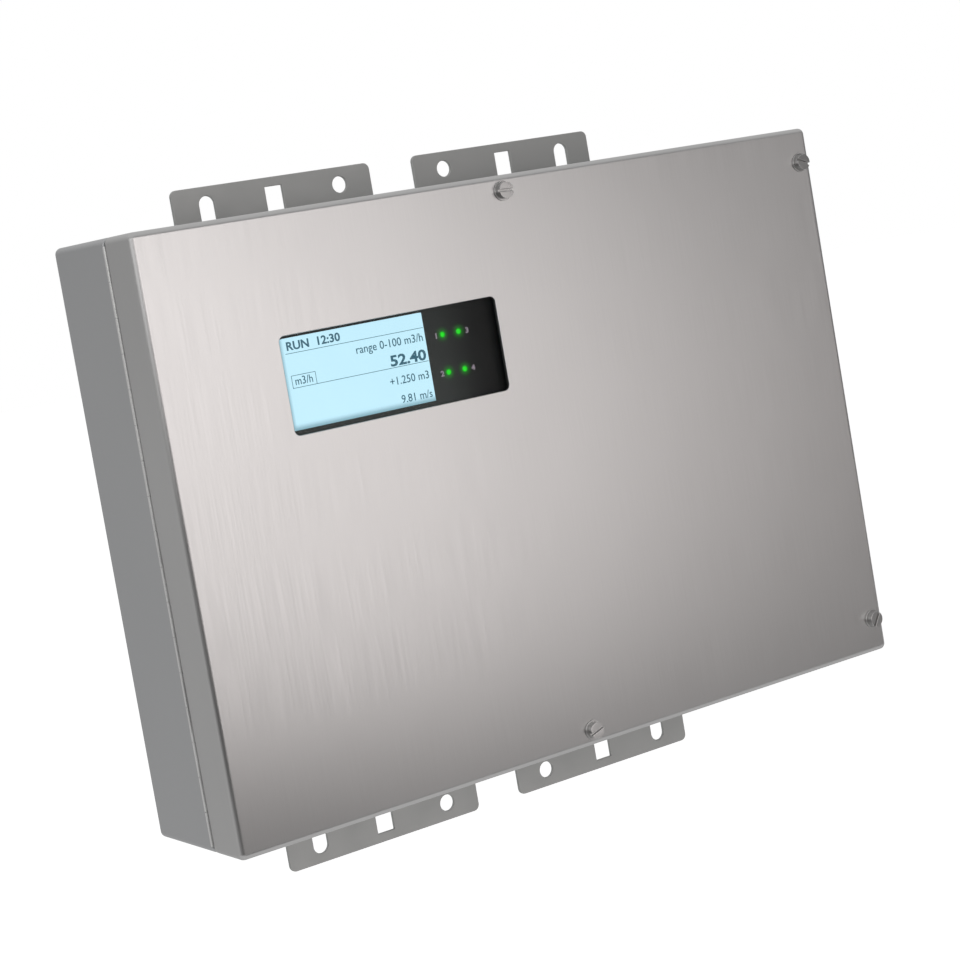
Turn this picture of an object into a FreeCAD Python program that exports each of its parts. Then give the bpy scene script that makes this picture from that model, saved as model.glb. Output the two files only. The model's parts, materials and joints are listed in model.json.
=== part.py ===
"""Ultrasonic gas meter: a folded stainless steel wall housing with a hinged cover and a display window.

Millimetres, +Z up. The front faces -Y and the wall is the plane y = 0, where the bracket feet lie.
The origin is the centre of the four round fixing holes on that plane.
"""
import FreeCAD
import Part
import math
import operator
import os
import Sketcher

SIZES = {
    # Folded housing and cover
    "box_width": 420,
    "box_height": 300,
    "box_depth": 90,          # rear wall to front face, cover closed
    "sheet": 1.5,
    "bend": 3,                # outside radius of the front and rear folds
    "seam_bend": 1.2,         # outside radius of the tight folds along the seam
    "corner_more": 0.3,       # how far the corner radius exceeds that of the folds
    "flange": 26,             # inward flange of the housing and return lip of the cover
    "cover_depth": 28,
    "seam": 2,                # gap between lip and flange, filled by the seal and the hinge leaves
    "cut_past": 1,            # how far a cutting shape runs past the face it cuts
    # Wall brackets
    "wall_gap": 15,           # joggle that stands the housing off the wall
    "bracket_width": 121,
    "bracket_gap": 28,        # between the left and the right bracket
    "bracket_sheet": 2,
    "bracket_bend": 4,
    "bracket_corner": 3.5,
    "top_reach": 20.5,        # bracket edge above the housing
    "bottom_reach": 43.5,     # bracket edge below the housing
    "web_drop": 16,           # joggle, measured inward from the housing's edge
    "foot_height": 24,
    "hole_edge": 9.5,         # fixing hole to bracket edge
    "hole_inset": 20,         # fixing hole and slot to bracket end
    "fixing_hole": 9,
    "slot_length": 20,
    "strap_width": 10.5,
    "strap_height": 14,
    # Bolts that hold the brackets
    "bolt": 6,
    "bolt_play": 0.25,
    "bolt_flats": 10,
    "bolt_head": 4,
    "bolt_nut": 5,
    "bolt_end": 2,            # thread beyond the nut
    "bolt_rise": 12,          # bolt row, measured from the joggle
    "thread_gap": 0.05,
    # Continuous hinge
    "knuckle_radius": 1,
    "knuckle_count": 17,
    "knuckle_gap": 0.3,
    "pin_radius": 0.5,
    "pin_play": 0.05,
    "hinge_clear": 0.2,
    "leaf": 0.8,
    "leaf_width": 13,
    "hinge_end": 4,           # hinge end to housing edge
    # Cover screws
    "screw_inset": 8.2,       # screw row to the cover's edge
    "screw_corner": 19,       # side screws to the top and bottom edges
    "screw": 5,
    "screw_play": 0.35,
    "screw_head": 8.6,
    "screw_head_height": 3.3,
    "screw_slot": 1.3,
    "screw_slot_depth": 1.6,
    "screw_washer": 10.4,
    "screw_washer_thick": 1,
    "sleeve_wall": 1.5,
    "screw_ring": 8.4,
    "screw_ring_thick": 0.8,
    "weld_nut": 10,
    "weld_nut_height": 5,
    # Seal between cover and housing
    "gasket_inset": 16,
    "gasket_width": 8,
    "gasket_corner": 6,
    "seal_gap": 0.3,
    # Window in the cover
    "window_left": 67.9,      # window edge to the cover's left side
    "window_drop": 60.3,      # window edge to the cover's top
    "window_width": 126.5,
    "window_height": 48.6,
    "window_corner": 3,
    "pane_lap": 8,            # pane beyond the window edge
    "pane": 3,
    "window_seal": 0.8,
    "frame_sheet": 1.2,
    "frame_rim": 9,           # clamp frame beyond the pane
    "frame_open": 4,          # clamp frame opening beyond the window edge
    "stud_inset": 4.5,        # stud to the frame's outer edge
    "window_stud": 3,
    "window_stud_length": 9.5,
    "window_nut_flats": 5.5,
    "window_nut": 2.4,
    # Display unit behind the window
    "mask_gap": 0.5,          # pane to mask
    "mask_lap": 2.5,          # mask beyond the window edge
    "mask_wall": 1.5,
    "mask_depth": 7.7,
    "lcd_left": 4.75,         # readout to the window's left edge
    "lcd_drop": 1.55,         # readout to the window's top edge
    "lcd_width": 80.3,
    "lcd_height": 44.9,
    "lcd_recess": 0.2,
    "lcd_thick": 2.8,
    "lcd_fit": 0.2,
    "tray_rim": 1.8,
    "tray_lip": 1.3,          # depth of the glass in its tray
    "lamp_left": 95.45,       # first lamp to the window's left edge
    "lamp_drop": 14.45,       # first lamp to the window's top edge
    "lamp_pitch": 9.8,
    "lamp_row": 19.3,
    "lamp": 3,
    "lamp_collar": 3.9,
    "lamp_collar_height": 1,
    "lamp_fit": 0.2,
    "display_rim_x": 7,       # display board beyond the window edge
    "display_rim_z": 10,
    "display_screw_inset": 3.8,
    "board": 1.6,             # thickness of all circuit boards
    "display_spacer": 4,
    # Inner front plate with keypad
    "plate_sheet": 1.5,
    "plate_bend": 2.5,
    "plate_fold": 10,
    "plate_left": 52,         # inner front plate to the housing's sides and top
    "plate_right": 60,
    "plate_drop": 38,
    "plate_height": 98,
    "pillar_inset": 8,
    "pillar_flats": 8,
    "wire_slot_width": 60,
    "wire_slot_height": 18,
    "keypad_left": 24,        # keypad to the window's right edge
    "keypad_right": 36,       # keypad to the plate's right end
    "keypad_margin": 12,      # keypad to the plate's folds
    "keypad_corner": 5,
    "foil": 0.5,
    "key": 16,
    "key_pitch": 23,
    "key_rise": 0.6,
    "key_corner": 3,
    # Inner chassis
    "chassis_gap": 10,
    "chassis_sheet": 1.5,
    "chassis_inset": 35,      # chassis plate to the housing's sides
    "chassis_low": 40,        # chassis plate to the housing's bottom and top
    "chassis_drop": 38,
    "stud_edge": 10,
    "chassis_stud": 5,
    "chassis_shoulder": 8,
    "chassis_stud_end": 9,
    "chassis_nut_flats": 8,
    "chassis_nut": 4,
    # Terminal board
    "board_inset": 45,        # board to the housing's sides
    "board_low": 72,          # board to the housing's bottom
    "level_gap": 6,           # board to the inner front plate's level above it
    "board_spacer": 8,
    "board_screw_inset": 6,
    "small_flats": 5.5,
    "small_screw": 3,
    "small_play": 0.2,
    "small_head": 5.4,
    "small_head_height": 2,
    "small_grip": 4,          # screw thread inside its spacer
    # Pieces on the terminal board
    "terminal_rise": 3,       # terminals to the board's lower edge
    "terminal_height": 15,
    "terminal_depth": 17,
    "terminal_step": 6,       # ledge over the wire openings
    "terminal_wire": 3.4,
    "terminal_wire_depth": 9,
    "terminal_screw": 3.2,
    "terminal_screw_depth": 5,
    "supply_pitch": 7.6,
    "supply_poles": 4,
    "signal_pitch": 5.1,
    "output_poles": 12,
    "transducer_poles": 8,
    "terminal_gap": 22,       # between neighbouring terminal rows
    "fuse": 10,
    "fuse_height": 14,
    "fuse_cap": 11.4,
    "fuse_cap_height": 5,
    "fuse_offset": 46,        # fuse, cell and chips to the board's upper right corner
    "upper_row": 20,          # row of the taller pieces to the board's upper edge
    "cell": 20,
    "cell_thick": 3.2,
    "holder_wall": 1.5,
    "holder_floor": 1,
    "cell_offset": 90,
    "chip": 15,
    "chip_thick": 2,
    "chip_pitch": 24,
    "chip_count": 3,
    "chip_offset": 150,
    "capacitor": 10,
    "capacitor_height": 16,
    "capacitor_pitch": 13,
    "capacitor_count": 2,
    "capacitor_offset": 12,
    "shield_width": 86,
    "shield_height": 24,
    "shield_depth": 14,
    "shield_sheet": 0.6,
    "shield_inset": 12,       # shield to the board's upper left corner
    # Modules behind the inner front plate
    "module_gap": 22,         # modules to the inner front plate's ends
    "module_margin": 16,      # modules to the inner front plate's level above and below
    "module_space": 36,       # between the two modules
    "module_bend": 3,
    "supply_width": 100,
    "supply_depth": 34,
    "measuring_depth": 30,
    "vent": 3,
    "vent_pitch": 9,
    "vent_count": 8,
    "vent_depth": 2,
    "vent_margin": 12,
    # Cable entries and earthing point
    "entry_count": 6,
    "entry_pitch": 46,
    "entry_hole": 20.4,
    "entry_stem": 19.8,
    "entry_stem_bore": 14,
    "entry_flange": 26,
    "entry_flange_height": 4,
    "entry_rise": 9,          # plug thread inside the housing
    "entry_slot": 3,
    "entry_slot_depth": 1.6,
    "entry_seal": 1.5,
    "entry_seal_rim": 0.6,
    "locknut_flats": 24,
    "locknut": 4,
    "earth_inset": 34,        # earthing point to the housing's right side
    "earth_stud": 6,
    "earth_reach": 13,
    "earth_inside": 12,
    "earth_washer": 12,
    "earth_washer_thick": 1.2,
}
SCREW_TURNS = (3, -19, 22, -56)   # how the four slots happen to stand, in degrees
OPERATIONS = {"+": operator.add, "-": operator.sub, "*": operator.mul, "/": operator.truediv}


class Size:
    """A length kept both as a number and as the sheet expression that gives it."""

    def __init__(self, text, value):
        self.text = text
        self.value = value

    def __add__(self, other):
        return join(self, "+", other)

    def __radd__(self, other):
        return join(other, "+", self)

    def __sub__(self, other):
        return join(self, "-", other)

    def __rsub__(self, other):
        return join(other, "-", self)

    def __mul__(self, other):
        return join(self, "*", other)

    def __rmul__(self, other):
        return join(other, "*", self)

    def __truediv__(self, other):
        return join(self, "/", other)

    def __neg__(self):
        return join(0, "-", self)


def as_size(value):
    """A plain number as a Size, a Size as it is."""
    return value if isinstance(value, Size) else Size(repr(value), value)


def join(first, sign, second):
    """Two sizes under one arithmetic sign."""
    first = as_size(first)
    second = as_size(second)
    value = OPERATIONS[sign](first.value, second.value)
    return Size(f"({first.text} {sign} {second.text})", value)


def root(size):
    """The square root of a size."""
    return Size(f"sqrt({size.text})", math.sqrt(size.value))


class Sheet:
    """The driving dimensions as attributes, each tied to its cell."""

    def __init__(self, document, sizes):
        cells = document.addObject("Spreadsheet::Sheet", "Sizes")
        for row, (alias, value) in enumerate(sizes.items(), 1):
            cells.set(f"A{row}", str(value))
            cells.setAlias(f"A{row}", alias)
            setattr(self, alias, Size(f"Sizes.{alias}", value))


doc = FreeCAD.newDocument("gas_meter")
s = Sheet(doc, SIZES)
doc.recompute()
sub_parts = []

# Reference planes
left = -s.box_width / 2
right = s.box_width / 2
top_hole_rise = s.top_reach - s.hole_edge
bottom_hole_drop = s.bottom_reach - s.hole_edge
hole_rows = s.box_height + top_hole_rise + bottom_hole_drop
top = hole_rows / 2 - top_hole_rise
bottom = top - s.box_height
rear = -s.wall_gap
front = rear - s.box_depth
lip_rear = front + s.cover_depth
flange_front = lip_rear + s.seam
rear_inside = rear - s.sheet
panel_inside = front + s.sheet


# Basic shapes

def bind(thing, **sizes):
    """Tie properties of an object to sizes."""
    for name, value in sizes.items():
        thing.setExpression(name, as_size(value).text)


def place(thing, x, y, z):
    """Tie the object's position to sizes."""
    for axis, value in zip("xyz", (x, y, z)):
        thing.setExpression(f"Placement.Base.{axis}", as_size(value).text)


def keep(label, thing):
    """Name a finished sub-part."""
    thing.Label = label
    sub_parts.append(thing)
    return thing


def box(name, x, y, z):
    """A block between two values on each axis."""
    block = doc.addObject("Part::Box", name)
    bind(block, Length=x[1] - x[0], Width=y[1] - y[0], Height=z[1] - z[0])
    place(block, x[0], y[0], z[0])
    return block


TURNS = {
    "X": FreeCAD.Rotation(FreeCAD.Vector(0, 1, 0), 90),
    "Y": FreeCAD.Rotation(FreeCAD.Vector(1, 0, 0), -90),
    "Z": FreeCAD.Rotation(),
}


def stand(thing, axis, at, start):
    """Turn an upright shape along an axis; at holds the other two coordinates in X, Y, Z order."""
    thing.Placement = FreeCAD.Placement(FreeCAD.Vector(), TURNS[axis])
    coordinates = list(at)
    coordinates.insert("XYZ".index(axis), start)
    place(thing, *coordinates)


def rod(name, axis, diameter, at, span):
    """A cylinder along an axis."""
    bar = doc.addObject("Part::Cylinder", name)
    bind(bar, Radius=diameter / 2, Height=span[1] - span[0])
    stand(bar, axis, at, span[0])
    return bar


def hexagon(name, axis, flats, at, span):
    """A six-sided prism along an axis, by its size across flats."""
    prism = doc.addObject("Part::Prism", name)
    prism.Polygon = 6
    bind(prism, Circumradius=flats / math.sqrt(3), Height=span[1] - span[0])
    stand(prism, axis, at, span[0])
    return prism


def fuse(name, pieces):
    """One solid from several."""
    if len(pieces) == 1:
        return pieces[0]
    joined = doc.addObject("Part::MultiFuse", name)
    joined.Shapes = pieces
    joined.Refine = True
    return joined


def cut(name, base, tools):
    """A solid less other shapes."""
    result = doc.addObject("Part::Cut", name)
    result.Base = base
    result.Tool = fuse(f"{name}_tools", tools)
    result.Refine = True
    return result


def group(name, pieces):
    """Separate like solids kept as one sub-part."""
    together = doc.addObject("Part::Compound", name)
    together.Links = pieces
    return keep(name, together)


def ring(name, axis, outer, inner, at, span):
    """A tube or washer."""
    disc = rod(f"{name}_disc", axis, outer, at, span)
    return cut(name, disc, [rod(f"{name}_bore", axis, inner, at, span)])


def hex_nut(name, axis, flats, bore, at, span):
    """A plain nut."""
    blank = hexagon(f"{name}_blank", axis, flats, at, span)
    return cut(name, blank, [rod(f"{name}_bore", axis, bore, at, span)])


def screw(name, head, shank, at, head_span, shank_span):
    """A round-headed screw along Y."""
    head_disc = rod(f"{name}_head", "Y", head, at, head_span)
    return fuse(name, [head_disc, rod(f"{name}_shank", "Y", shank, at, shank_span)])


# Outlines drawn in a sketch and padded

PLANE_AXES = {"XY_Plane": "z", "XZ_Plane": "y", "YZ_Plane": "x"}


def towards(corner, other):
    """The point where a corner's rounding ends, on the side that faces another corner."""
    u, v, radius = corner
    along_u = other[0].value - u.value
    along_v = other[1].value - v.value
    if abs(along_u) > abs(along_v):
        return u + radius * math.copysign(1, along_u), v
    return u, v + radius * math.copysign(1, along_v)


def vector(point):
    """A pair of sizes as a point of a sketch."""
    return FreeCAD.Vector(point[0].value, point[1].value, 0)


def fix_point(sketch, element, end, point):
    """Hold an element's end at a pair of sizes."""
    for kind, value in zip(("DistanceX", "DistanceY"), point):
        number = sketch.addConstraint(Sketcher.Constraint(kind, element, end, value.value))
        sketch.setExpression(f"Constraints[{number}]", value.text)


def round_corner(sketch, corner, before, after, line_in, line_out):
    """An arc between the lines on both sides of a square corner."""
    start = vector(before)
    finish = vector(after)
    point = vector(corner[:2])
    centre = start + finish - point
    middle = centre + (point - centre).normalize() * corner[2].value
    arc = sketch.addGeometry(Part.Arc(start, middle, finish), False)
    ends = [sketch.getPoint(arc, end).distanceToPoint(start) for end in (1, 2)]
    first, last = (1, 2) if ends[0] < ends[1] else (2, 1)
    sketch.addConstraint(Sketcher.Constraint("Coincident", arc, first, line_in, 2))
    sketch.addConstraint(Sketcher.Constraint("Coincident", arc, last, line_out, 1))
    number = sketch.addConstraint(Sketcher.Constraint("Radius", arc, corner[2].value))
    sketch.setExpression(f"Constraints[{number}]", corner[2].text)


def outline(body, plane, corners):
    """A closed outline of lines along the axes; each corner is u, v and its radius, or 0 if sharp."""
    sketch = body.newObject("Sketcher::SketchObject", f"{body.Name}_outline")
    support = [feature for feature in body.Origin.OriginFeatures if feature.Role == plane]
    sketch.AttachmentSupport = [(support[0], "")]
    sketch.MapMode = "FlatFace"
    corners = [tuple(as_size(value) for value in corner) for corner in corners]
    count = len(corners)
    befores = [towards(corners[i], corners[i - 1]) for i in range(count)]
    afters = [towards(corners[i], corners[(i + 1) % count]) for i in range(count)]
    for i in range(count):
        line = Part.LineSegment(vector(afters[i]), vector(befores[(i + 1) % count]))
        sketch.addGeometry(line, False)
    for i in range(count):
        line_in = (i - 1) % count
        fix_point(sketch, i, 1, afters[i])
        if corners[i][2].value > 0:
            fix_point(sketch, line_in, 2, befores[i])
            round_corner(sketch, corners[i], befores[i], afters[i], line_in, i)
        else:
            sketch.addConstraint(Sketcher.Constraint("Coincident", line_in, 2, i, 1))
    return sketch


def rectangle(u, v, radius=0):
    """The corners of a rectangle."""
    return [(u[0], v[0], radius), (u[1], v[0], radius), (u[1], v[1], radius), (u[0], v[1], radius)]


def slab(name, plane, corners, span):
    """An outline padded between two values along its plane's normal."""
    body = doc.addObject("PartDesign::Body", name)
    pad = body.newObject("PartDesign::Pad", f"{name}_pad")
    pad.Profile = outline(body, plane, corners)
    pad.Reversed = plane == "XZ_Plane"
    bind(pad, Length=span[1] - span[0])
    body.setExpression(f"Placement.Base.{PLANE_AXES[plane]}", as_size(span[0]).text)
    body.Tip = pad
    doc.recompute()
    return body


def round_edges(body, radius, chosen):
    """Round the chosen edges of a body."""
    base = body.Tip
    names = [f"Edge{i}" for i, edge in enumerate(base.Shape.Edges, 1) if chosen(edge)]
    fillet = body.newObject("PartDesign::Fillet", f"{body.Name}_rounding_{len(body.Group)}")
    fillet.Base = (base, names)
    bind(fillet, Radius=radius)
    body.Tip = fillet
    doc.recompute()


def in_face(edge):
    """True for an edge that lies across the Y axis."""
    return edge.BoundBox.YLength < 1e-6


def folded_block(name, x, y, z, front_fold=None, rear_fold=None, corner=0):
    """A block whose front and rear edges are folded where a radius is given."""
    body = slab(name, "XZ_Plane", rectangle(x, z, corner), y)
    middle = body.Tip.Shape.BoundBox.Center.y
    if front_fold is not None:
        round_edges(body, front_fold, lambda edge: in_face(edge) and edge.BoundBox.YMax < middle)
    if rear_fold is not None:
        round_edges(body, rear_fold, lambda edge: in_face(edge) and edge.BoundBox.YMin > middle)
    return body


def inset(span, amount):
    """A span drawn in, or pushed out by a negative amount, at both ends."""
    return span[0] + amount, span[1] - amount


def around(middle, width):
    """A span of a given width about its middle."""
    return middle - width / 2, middle + width / 2


def span_from(start, length):
    """A span of a given length that starts at a face."""
    return start, start + length


def span_to(finish, length):
    """A span of a given length that ends at a face."""
    return finish - length, finish


# Housing and cover

box_x = (left, right)
box_z = (bottom, top)
shell_corner = s.bend + s.corner_more
past = s.cut_past
screw_right = right - s.screw_inset
cover_screw_places = [
    ((left + right) / 2, top - s.screw_inset),
    ((left + right) / 2, bottom + s.screw_inset),
    (screw_right, top - s.screw_corner),
    (screw_right, bottom + s.screw_corner),
]
screw_hole = s.screw + 2 * s.screw_play
entry_y = (rear + flange_front) / 2
entry_places = [
    (s.entry_pitch * (i - (SIZES["entry_count"] - 1) / 2), entry_y) for i in range(SIZES["entry_count"])
]
earth_place = (right - s.earth_inset, entry_y)
bolt_hole = s.bolt + 2 * s.bolt_play


def mirrored(side, near, far):
    """A span on the right, or its mirror image on the left."""
    return (near, far) if side > 0 else (-far, -near)


bracket_near = s.bracket_gap / 2
bracket_far = bracket_near + s.bracket_width
hole_x = bracket_near + s.hole_inset
slot_x = bracket_far - s.hole_inset
strap_x = (bracket_near + bracket_far) / 2
bracket_sides = {"left": -1, "right": 1}
bracket_levels = {"top": 1, "bottom": -1}
housing_edge = {"top": top, "bottom": bottom}
bracket_reach = {"top": s.top_reach, "bottom": s.bottom_reach}


def bolt_places():
    """Where the bolts go through the bracket feet and the rear wall."""
    places = []
    for level, up in bracket_levels.items():
        z = housing_edge[level] - up * (s.web_drop + s.bracket_sheet + s.bolt_rise)
        places += [(side * x, z) for side in bracket_sides.values() for x in (hole_x, slot_x)]
    return places


def make_rear_housing():
    """The folded rear box with its inward flange and all its holes."""
    y = (flange_front, rear)
    outside = folded_block("housing_outside", box_x, y, box_z, s.seam_bend, s.bend, shell_corner)
    cavity_spans = inset(box_x, s.sheet), inset(y, s.sheet), inset(box_z, s.sheet)
    cavity_folds = None, s.bend - s.sheet, shell_corner - s.sheet
    cavity = folded_block("housing_cavity", *cavity_spans, *cavity_folds)
    flange_span = (flange_front - past, flange_front + s.sheet + past)
    mouth = box("housing_mouth", inset(box_x, s.flange), flange_span, inset(box_z, s.flange))
    tools = [cavity, mouth]
    for i, place_xz in enumerate(cover_screw_places):
        tools.append(rod(f"flange_hole_{i}", "Y", screw_hole, place_xz, flange_span))
    for i, place_xz in enumerate(bolt_places()):
        tools.append(rod(f"bolt_hole_{i}", "Y", bolt_hole, place_xz, (rear_inside - past, rear + past)))
    floor_span = (bottom - past, bottom + s.sheet + past)
    for i, place_xy in enumerate(entry_places):
        tools.append(rod(f"entry_hole_{i}", "Z", s.entry_hole, place_xy, floor_span))
    tools.append(rod("earth_hole", "Z", s.earth_stud + 2 * s.thread_gap, earth_place, floor_span))
    keep("rear_housing", cut("rear_housing", outside, tools))


window_x = (left + s.window_left, left + s.window_left + s.window_width)
window_z = (top - s.window_drop - s.window_height, top - s.window_drop)


def make_front_cover():
    """The folded cover pan with its return lip, window cut-out and screw holes."""
    y = (front, lip_rear)
    outside = folded_block("cover_outside", box_x, y, box_z, s.bend, s.seam_bend, shell_corner)
    cavity_spans = inset(box_x, s.sheet), inset(y, s.sheet), inset(box_z, s.sheet)
    cavity_folds = s.bend - s.sheet, None, shell_corner - s.sheet
    cavity = folded_block("cover_cavity", *cavity_spans, *cavity_folds)
    lip_span = (lip_rear - s.sheet - past, lip_rear + past)
    panel_span = (front - past, panel_inside + past)
    mouth = box("cover_mouth", inset(box_x, s.flange), lip_span, inset(box_z, s.flange))
    window = slab("window_cut", "XZ_Plane", rectangle(window_x, window_z, s.window_corner), panel_span)
    tools = [cavity, mouth, window]
    for i, place_xz in enumerate(cover_screw_places):
        tools.append(rod(f"cover_hole_{i}", "Y", screw_hole, place_xz, (front - past, lip_rear + past)))
    keep("front_cover", cut("front_cover", outside, tools))


def make_cover_gasket():
    """The foam seal on the return lip."""
    outer = rectangle(inset(box_x, s.gasket_inset), inset(box_z, s.gasket_inset), s.gasket_corner)
    inner_inset = s.gasket_inset + s.gasket_width
    inner = rectangle(inset(box_x, inner_inset), inset(box_z, inner_inset))
    span = (lip_rear, flange_front - s.seal_gap)
    blank = slab("gasket_blank", "XZ_Plane", outer, span)
    middle = slab("gasket_middle", "XZ_Plane", inner, (span[0] - past, span[1] + past))
    keep("cover_gasket", cut("cover_gasket", blank, [middle]))


def make_cover_screws():
    """Captive slotted screws with washers, spacer sleeves, retaining rings and the nuts they reach."""
    screws = []
    washers = []
    sleeves = []
    rings = []
    nuts = []
    head_back = front - s.screw_washer_thick
    nut_span = span_from(flange_front + s.sheet, s.weld_nut_height)
    sleeve_bore = s.screw + 2 * s.screw_play
    for i, (x, z) in enumerate(cover_screw_places):
        head_span = span_to(head_back, s.screw_head_height)
        body = screw(f"cover_screw_{i}", s.screw_head, s.screw, (x, z), head_span, (head_back, nut_span[1]))
        turn = math.radians(SCREW_TURNS[i])
        half = s.screw_head / 2 + past
        slot = doc.addObject("Part::Box", f"screw_slot_{i}")
        slot_turn = FreeCAD.Rotation(FreeCAD.Vector(0, 1, 0), SCREW_TURNS[i])
        slot.Placement = FreeCAD.Placement(FreeCAD.Vector(), slot_turn)
        bind(slot, Length=2 * half, Width=s.screw_slot_depth + past, Height=s.screw_slot)
        slot_x0 = x - half * math.cos(turn) - s.screw_slot / 2 * math.sin(turn)
        slot_z0 = z + half * math.sin(turn) - s.screw_slot / 2 * math.cos(turn)
        place(slot, slot_x0, head_span[0] - past, slot_z0)
        screws.append(cut(f"slotted_screw_{i}", body, [slot]))
        washer_span = (head_back, front)
        washers.append(ring(f"screw_washer_{i}", "Y", s.screw_washer, screw_hole, (x, z), washer_span))
        sleeve_outer = sleeve_bore + 2 * s.sleeve_wall
        sleeve_span = (panel_inside, lip_rear - s.sheet)
        sleeves.append(ring(f"screw_sleeve_{i}", "Y", sleeve_outer, sleeve_bore, (x, z), sleeve_span))
        ring_span = span_from(lip_rear + s.thread_gap, s.screw_ring_thick)
        ring_bore = s.screw + 2 * s.thread_gap
        rings.append(ring(f"screw_ring_{i}", "Y", s.screw_ring, ring_bore, (x, z), ring_span))
        blank = box(f"weld_nut_blank_{i}", around(x, s.weld_nut), nut_span, around(z, s.weld_nut))
        bore = rod(f"weld_nut_bore_{i}", "Y", screw_hole, (x, z), nut_span)
        nuts.append(cut(f"weld_nut_{i}", blank, [bore]))
    group("cover_screws", screws)
    group("cover_screw_washers", washers)
    group("cover_screw_sleeves", sleeves)
    group("cover_screw_rings", rings)
    group("cover_weld_nuts", nuts)


# Wall brackets

def make_bracket(level, side):
    """One joggled bracket: a foot on the rear wall, a web, and a leg on the wall with its cut-outs."""
    name = f"mounting_bracket_{level}_{side}"
    up = bracket_levels[level]
    sign = bracket_sides[side]
    thick = s.bracket_sheet
    edge = housing_edge[level] + up * bracket_reach[level]
    web = housing_edge[level] - up * s.web_drop
    web_under = web - up * thick
    foot_end = web_under - up * s.foot_height
    inner_bend = s.bracket_bend - thick
    profile = [
        (-thick, edge, 0),
        (0, edge, 0),
        (0, web_under, s.bracket_bend),
        (rear + thick, web_under, inner_bend),
        (rear + thick, foot_end, 0),
        (rear, foot_end, 0),
        (rear, web, s.bracket_bend),
        (-thick, web, inner_bend),
    ]
    body = slab(f"{name}_sheet", "YZ_Plane", profile, mirrored(sign, bracket_near, bracket_far))

    def at_outer_corner(edge_line):
        bounds = edge_line.BoundBox
        level_edge = abs(bounds.Center.z - edge.value) < 1e-6
        return level_edge and bounds.XLength < 1e-6 and bounds.ZLength < 1e-6

    round_edges(body, s.bracket_corner, at_outer_corner)
    leg = (-thick - past, past)
    hole_z = edge - up * s.hole_edge
    near_end = edge - up * (s.hole_edge - s.fixing_hole / 2)
    slot_far_z = near_end - up * (s.slot_length - s.fixing_hole / 2)
    slot_middle = sorted((hole_z, slot_far_z), key=lambda size: size.value)
    strap_z = sorted((near_end, near_end - up * s.strap_height), key=lambda size: size.value)
    tools = [
        rod(f"{name}_hole", "Y", s.fixing_hole, (sign * hole_x, hole_z), leg),
        rod(f"{name}_slot_near", "Y", s.fixing_hole, (sign * slot_x, hole_z), leg),
        rod(f"{name}_slot_far", "Y", s.fixing_hole, (sign * slot_x, slot_far_z), leg),
        box(f"{name}_slot_middle", around(sign * slot_x, s.fixing_hole), leg, slot_middle),
        box(f"{name}_strap", around(sign * strap_x, s.strap_width), leg, strap_z),
    ]
    bolt_z = web_under - up * s.bolt_rise
    for i, x in enumerate((hole_x, slot_x)):
        foot_span = (rear - past, rear + thick + past)
        tools.append(rod(f"{name}_bolt_hole_{i}", "Y", bolt_hole, (sign * x, bolt_z), foot_span))
    keep(name, cut(name, body, tools))


def make_bracket_bolts():
    """Bolts from the wall side with nuts inside the housing."""
    bolts = []
    nuts = []
    foot_face = rear + s.bracket_sheet
    nut_span = span_to(rear_inside, s.bolt_nut)
    for i, place_xz in enumerate(bolt_places()):
        head = hexagon(f"bolt_head_{i}", "Y", s.bolt_flats, place_xz, span_from(foot_face, s.bolt_head))
        shank = rod(f"bolt_shank_{i}", "Y", s.bolt, place_xz, (nut_span[0] - s.bolt_end, foot_face))
        bolts.append(fuse(f"bracket_bolt_{i}", [head, shank]))
        bore = s.bolt + 2 * s.thread_gap
        nuts.append(hex_nut(f"bracket_nut_{i}", "Y", s.bolt_flats, bore, place_xz, nut_span))
    group("bracket_bolts", bolts)
    group("bracket_nuts", nuts)


# Continuous hinge in the left seam

fold_reach = s.seam_bend + s.knuckle_radius + s.hinge_clear
fold_offset = s.seam_bend + s.seam / 2
hinge_x = left + s.seam_bend - root(fold_reach * fold_reach - fold_offset * fold_offset)
hinge_y = lip_rear + s.seam / 2
hinge_z = inset(box_z, s.hinge_end)
knuckle_length = (hinge_z[1] - hinge_z[0] + s.knuckle_gap) / s.knuckle_count - s.knuckle_gap


def make_hinge_leaf(name, leaf_y, first):
    """A leaf that lies in the seam, with every second knuckle rolled around the pin."""
    leaf_x = (hinge_x + s.knuckle_radius + s.hinge_clear, hinge_x + s.leaf_width)
    pieces = [box(f"{name}_plate", leaf_x, leaf_y, hinge_z)]
    for i in range(first, SIZES["knuckle_count"], 2):
        start = hinge_z[0] + i * (knuckle_length + s.knuckle_gap)
        span = (start, start + knuckle_length)
        pieces.append(rod(f"{name}_knuckle_{i}", "Z", 2 * s.knuckle_radius, (hinge_x, hinge_y), span))
        pieces.append(box(f"{name}_roll_{i}", (hinge_x, leaf_x[0]), leaf_y, span))
    bore_span = (hinge_z[0] - past, hinge_z[1] + past)
    bore = rod(f"{name}_bore", "Z", 2 * (s.pin_radius + s.pin_play), (hinge_x, hinge_y), bore_span)
    keep(name, cut(name, fuse(f"{name}_blank", pieces), [bore]))


def make_hinge():
    """Both leaves and the pin."""
    make_hinge_leaf("hinge_housing_leaf", span_to(flange_front, s.leaf), 0)
    make_hinge_leaf("hinge_cover_leaf", span_from(lip_rear, s.leaf), 1)
    keep("hinge_pin", rod("hinge_pin", "Z", 2 * s.pin_radius, (hinge_x, hinge_y), hinge_z))


# Window in the cover

pane_x = inset(window_x, -s.pane_lap)
pane_z = inset(window_z, -s.pane_lap)
pane_span = span_from(panel_inside + s.window_seal, s.pane)
frame_x = inset(pane_x, -s.frame_rim)
frame_z = inset(pane_z, -s.frame_rim)
frame_span = span_from(pane_span[1], s.frame_sheet)


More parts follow.
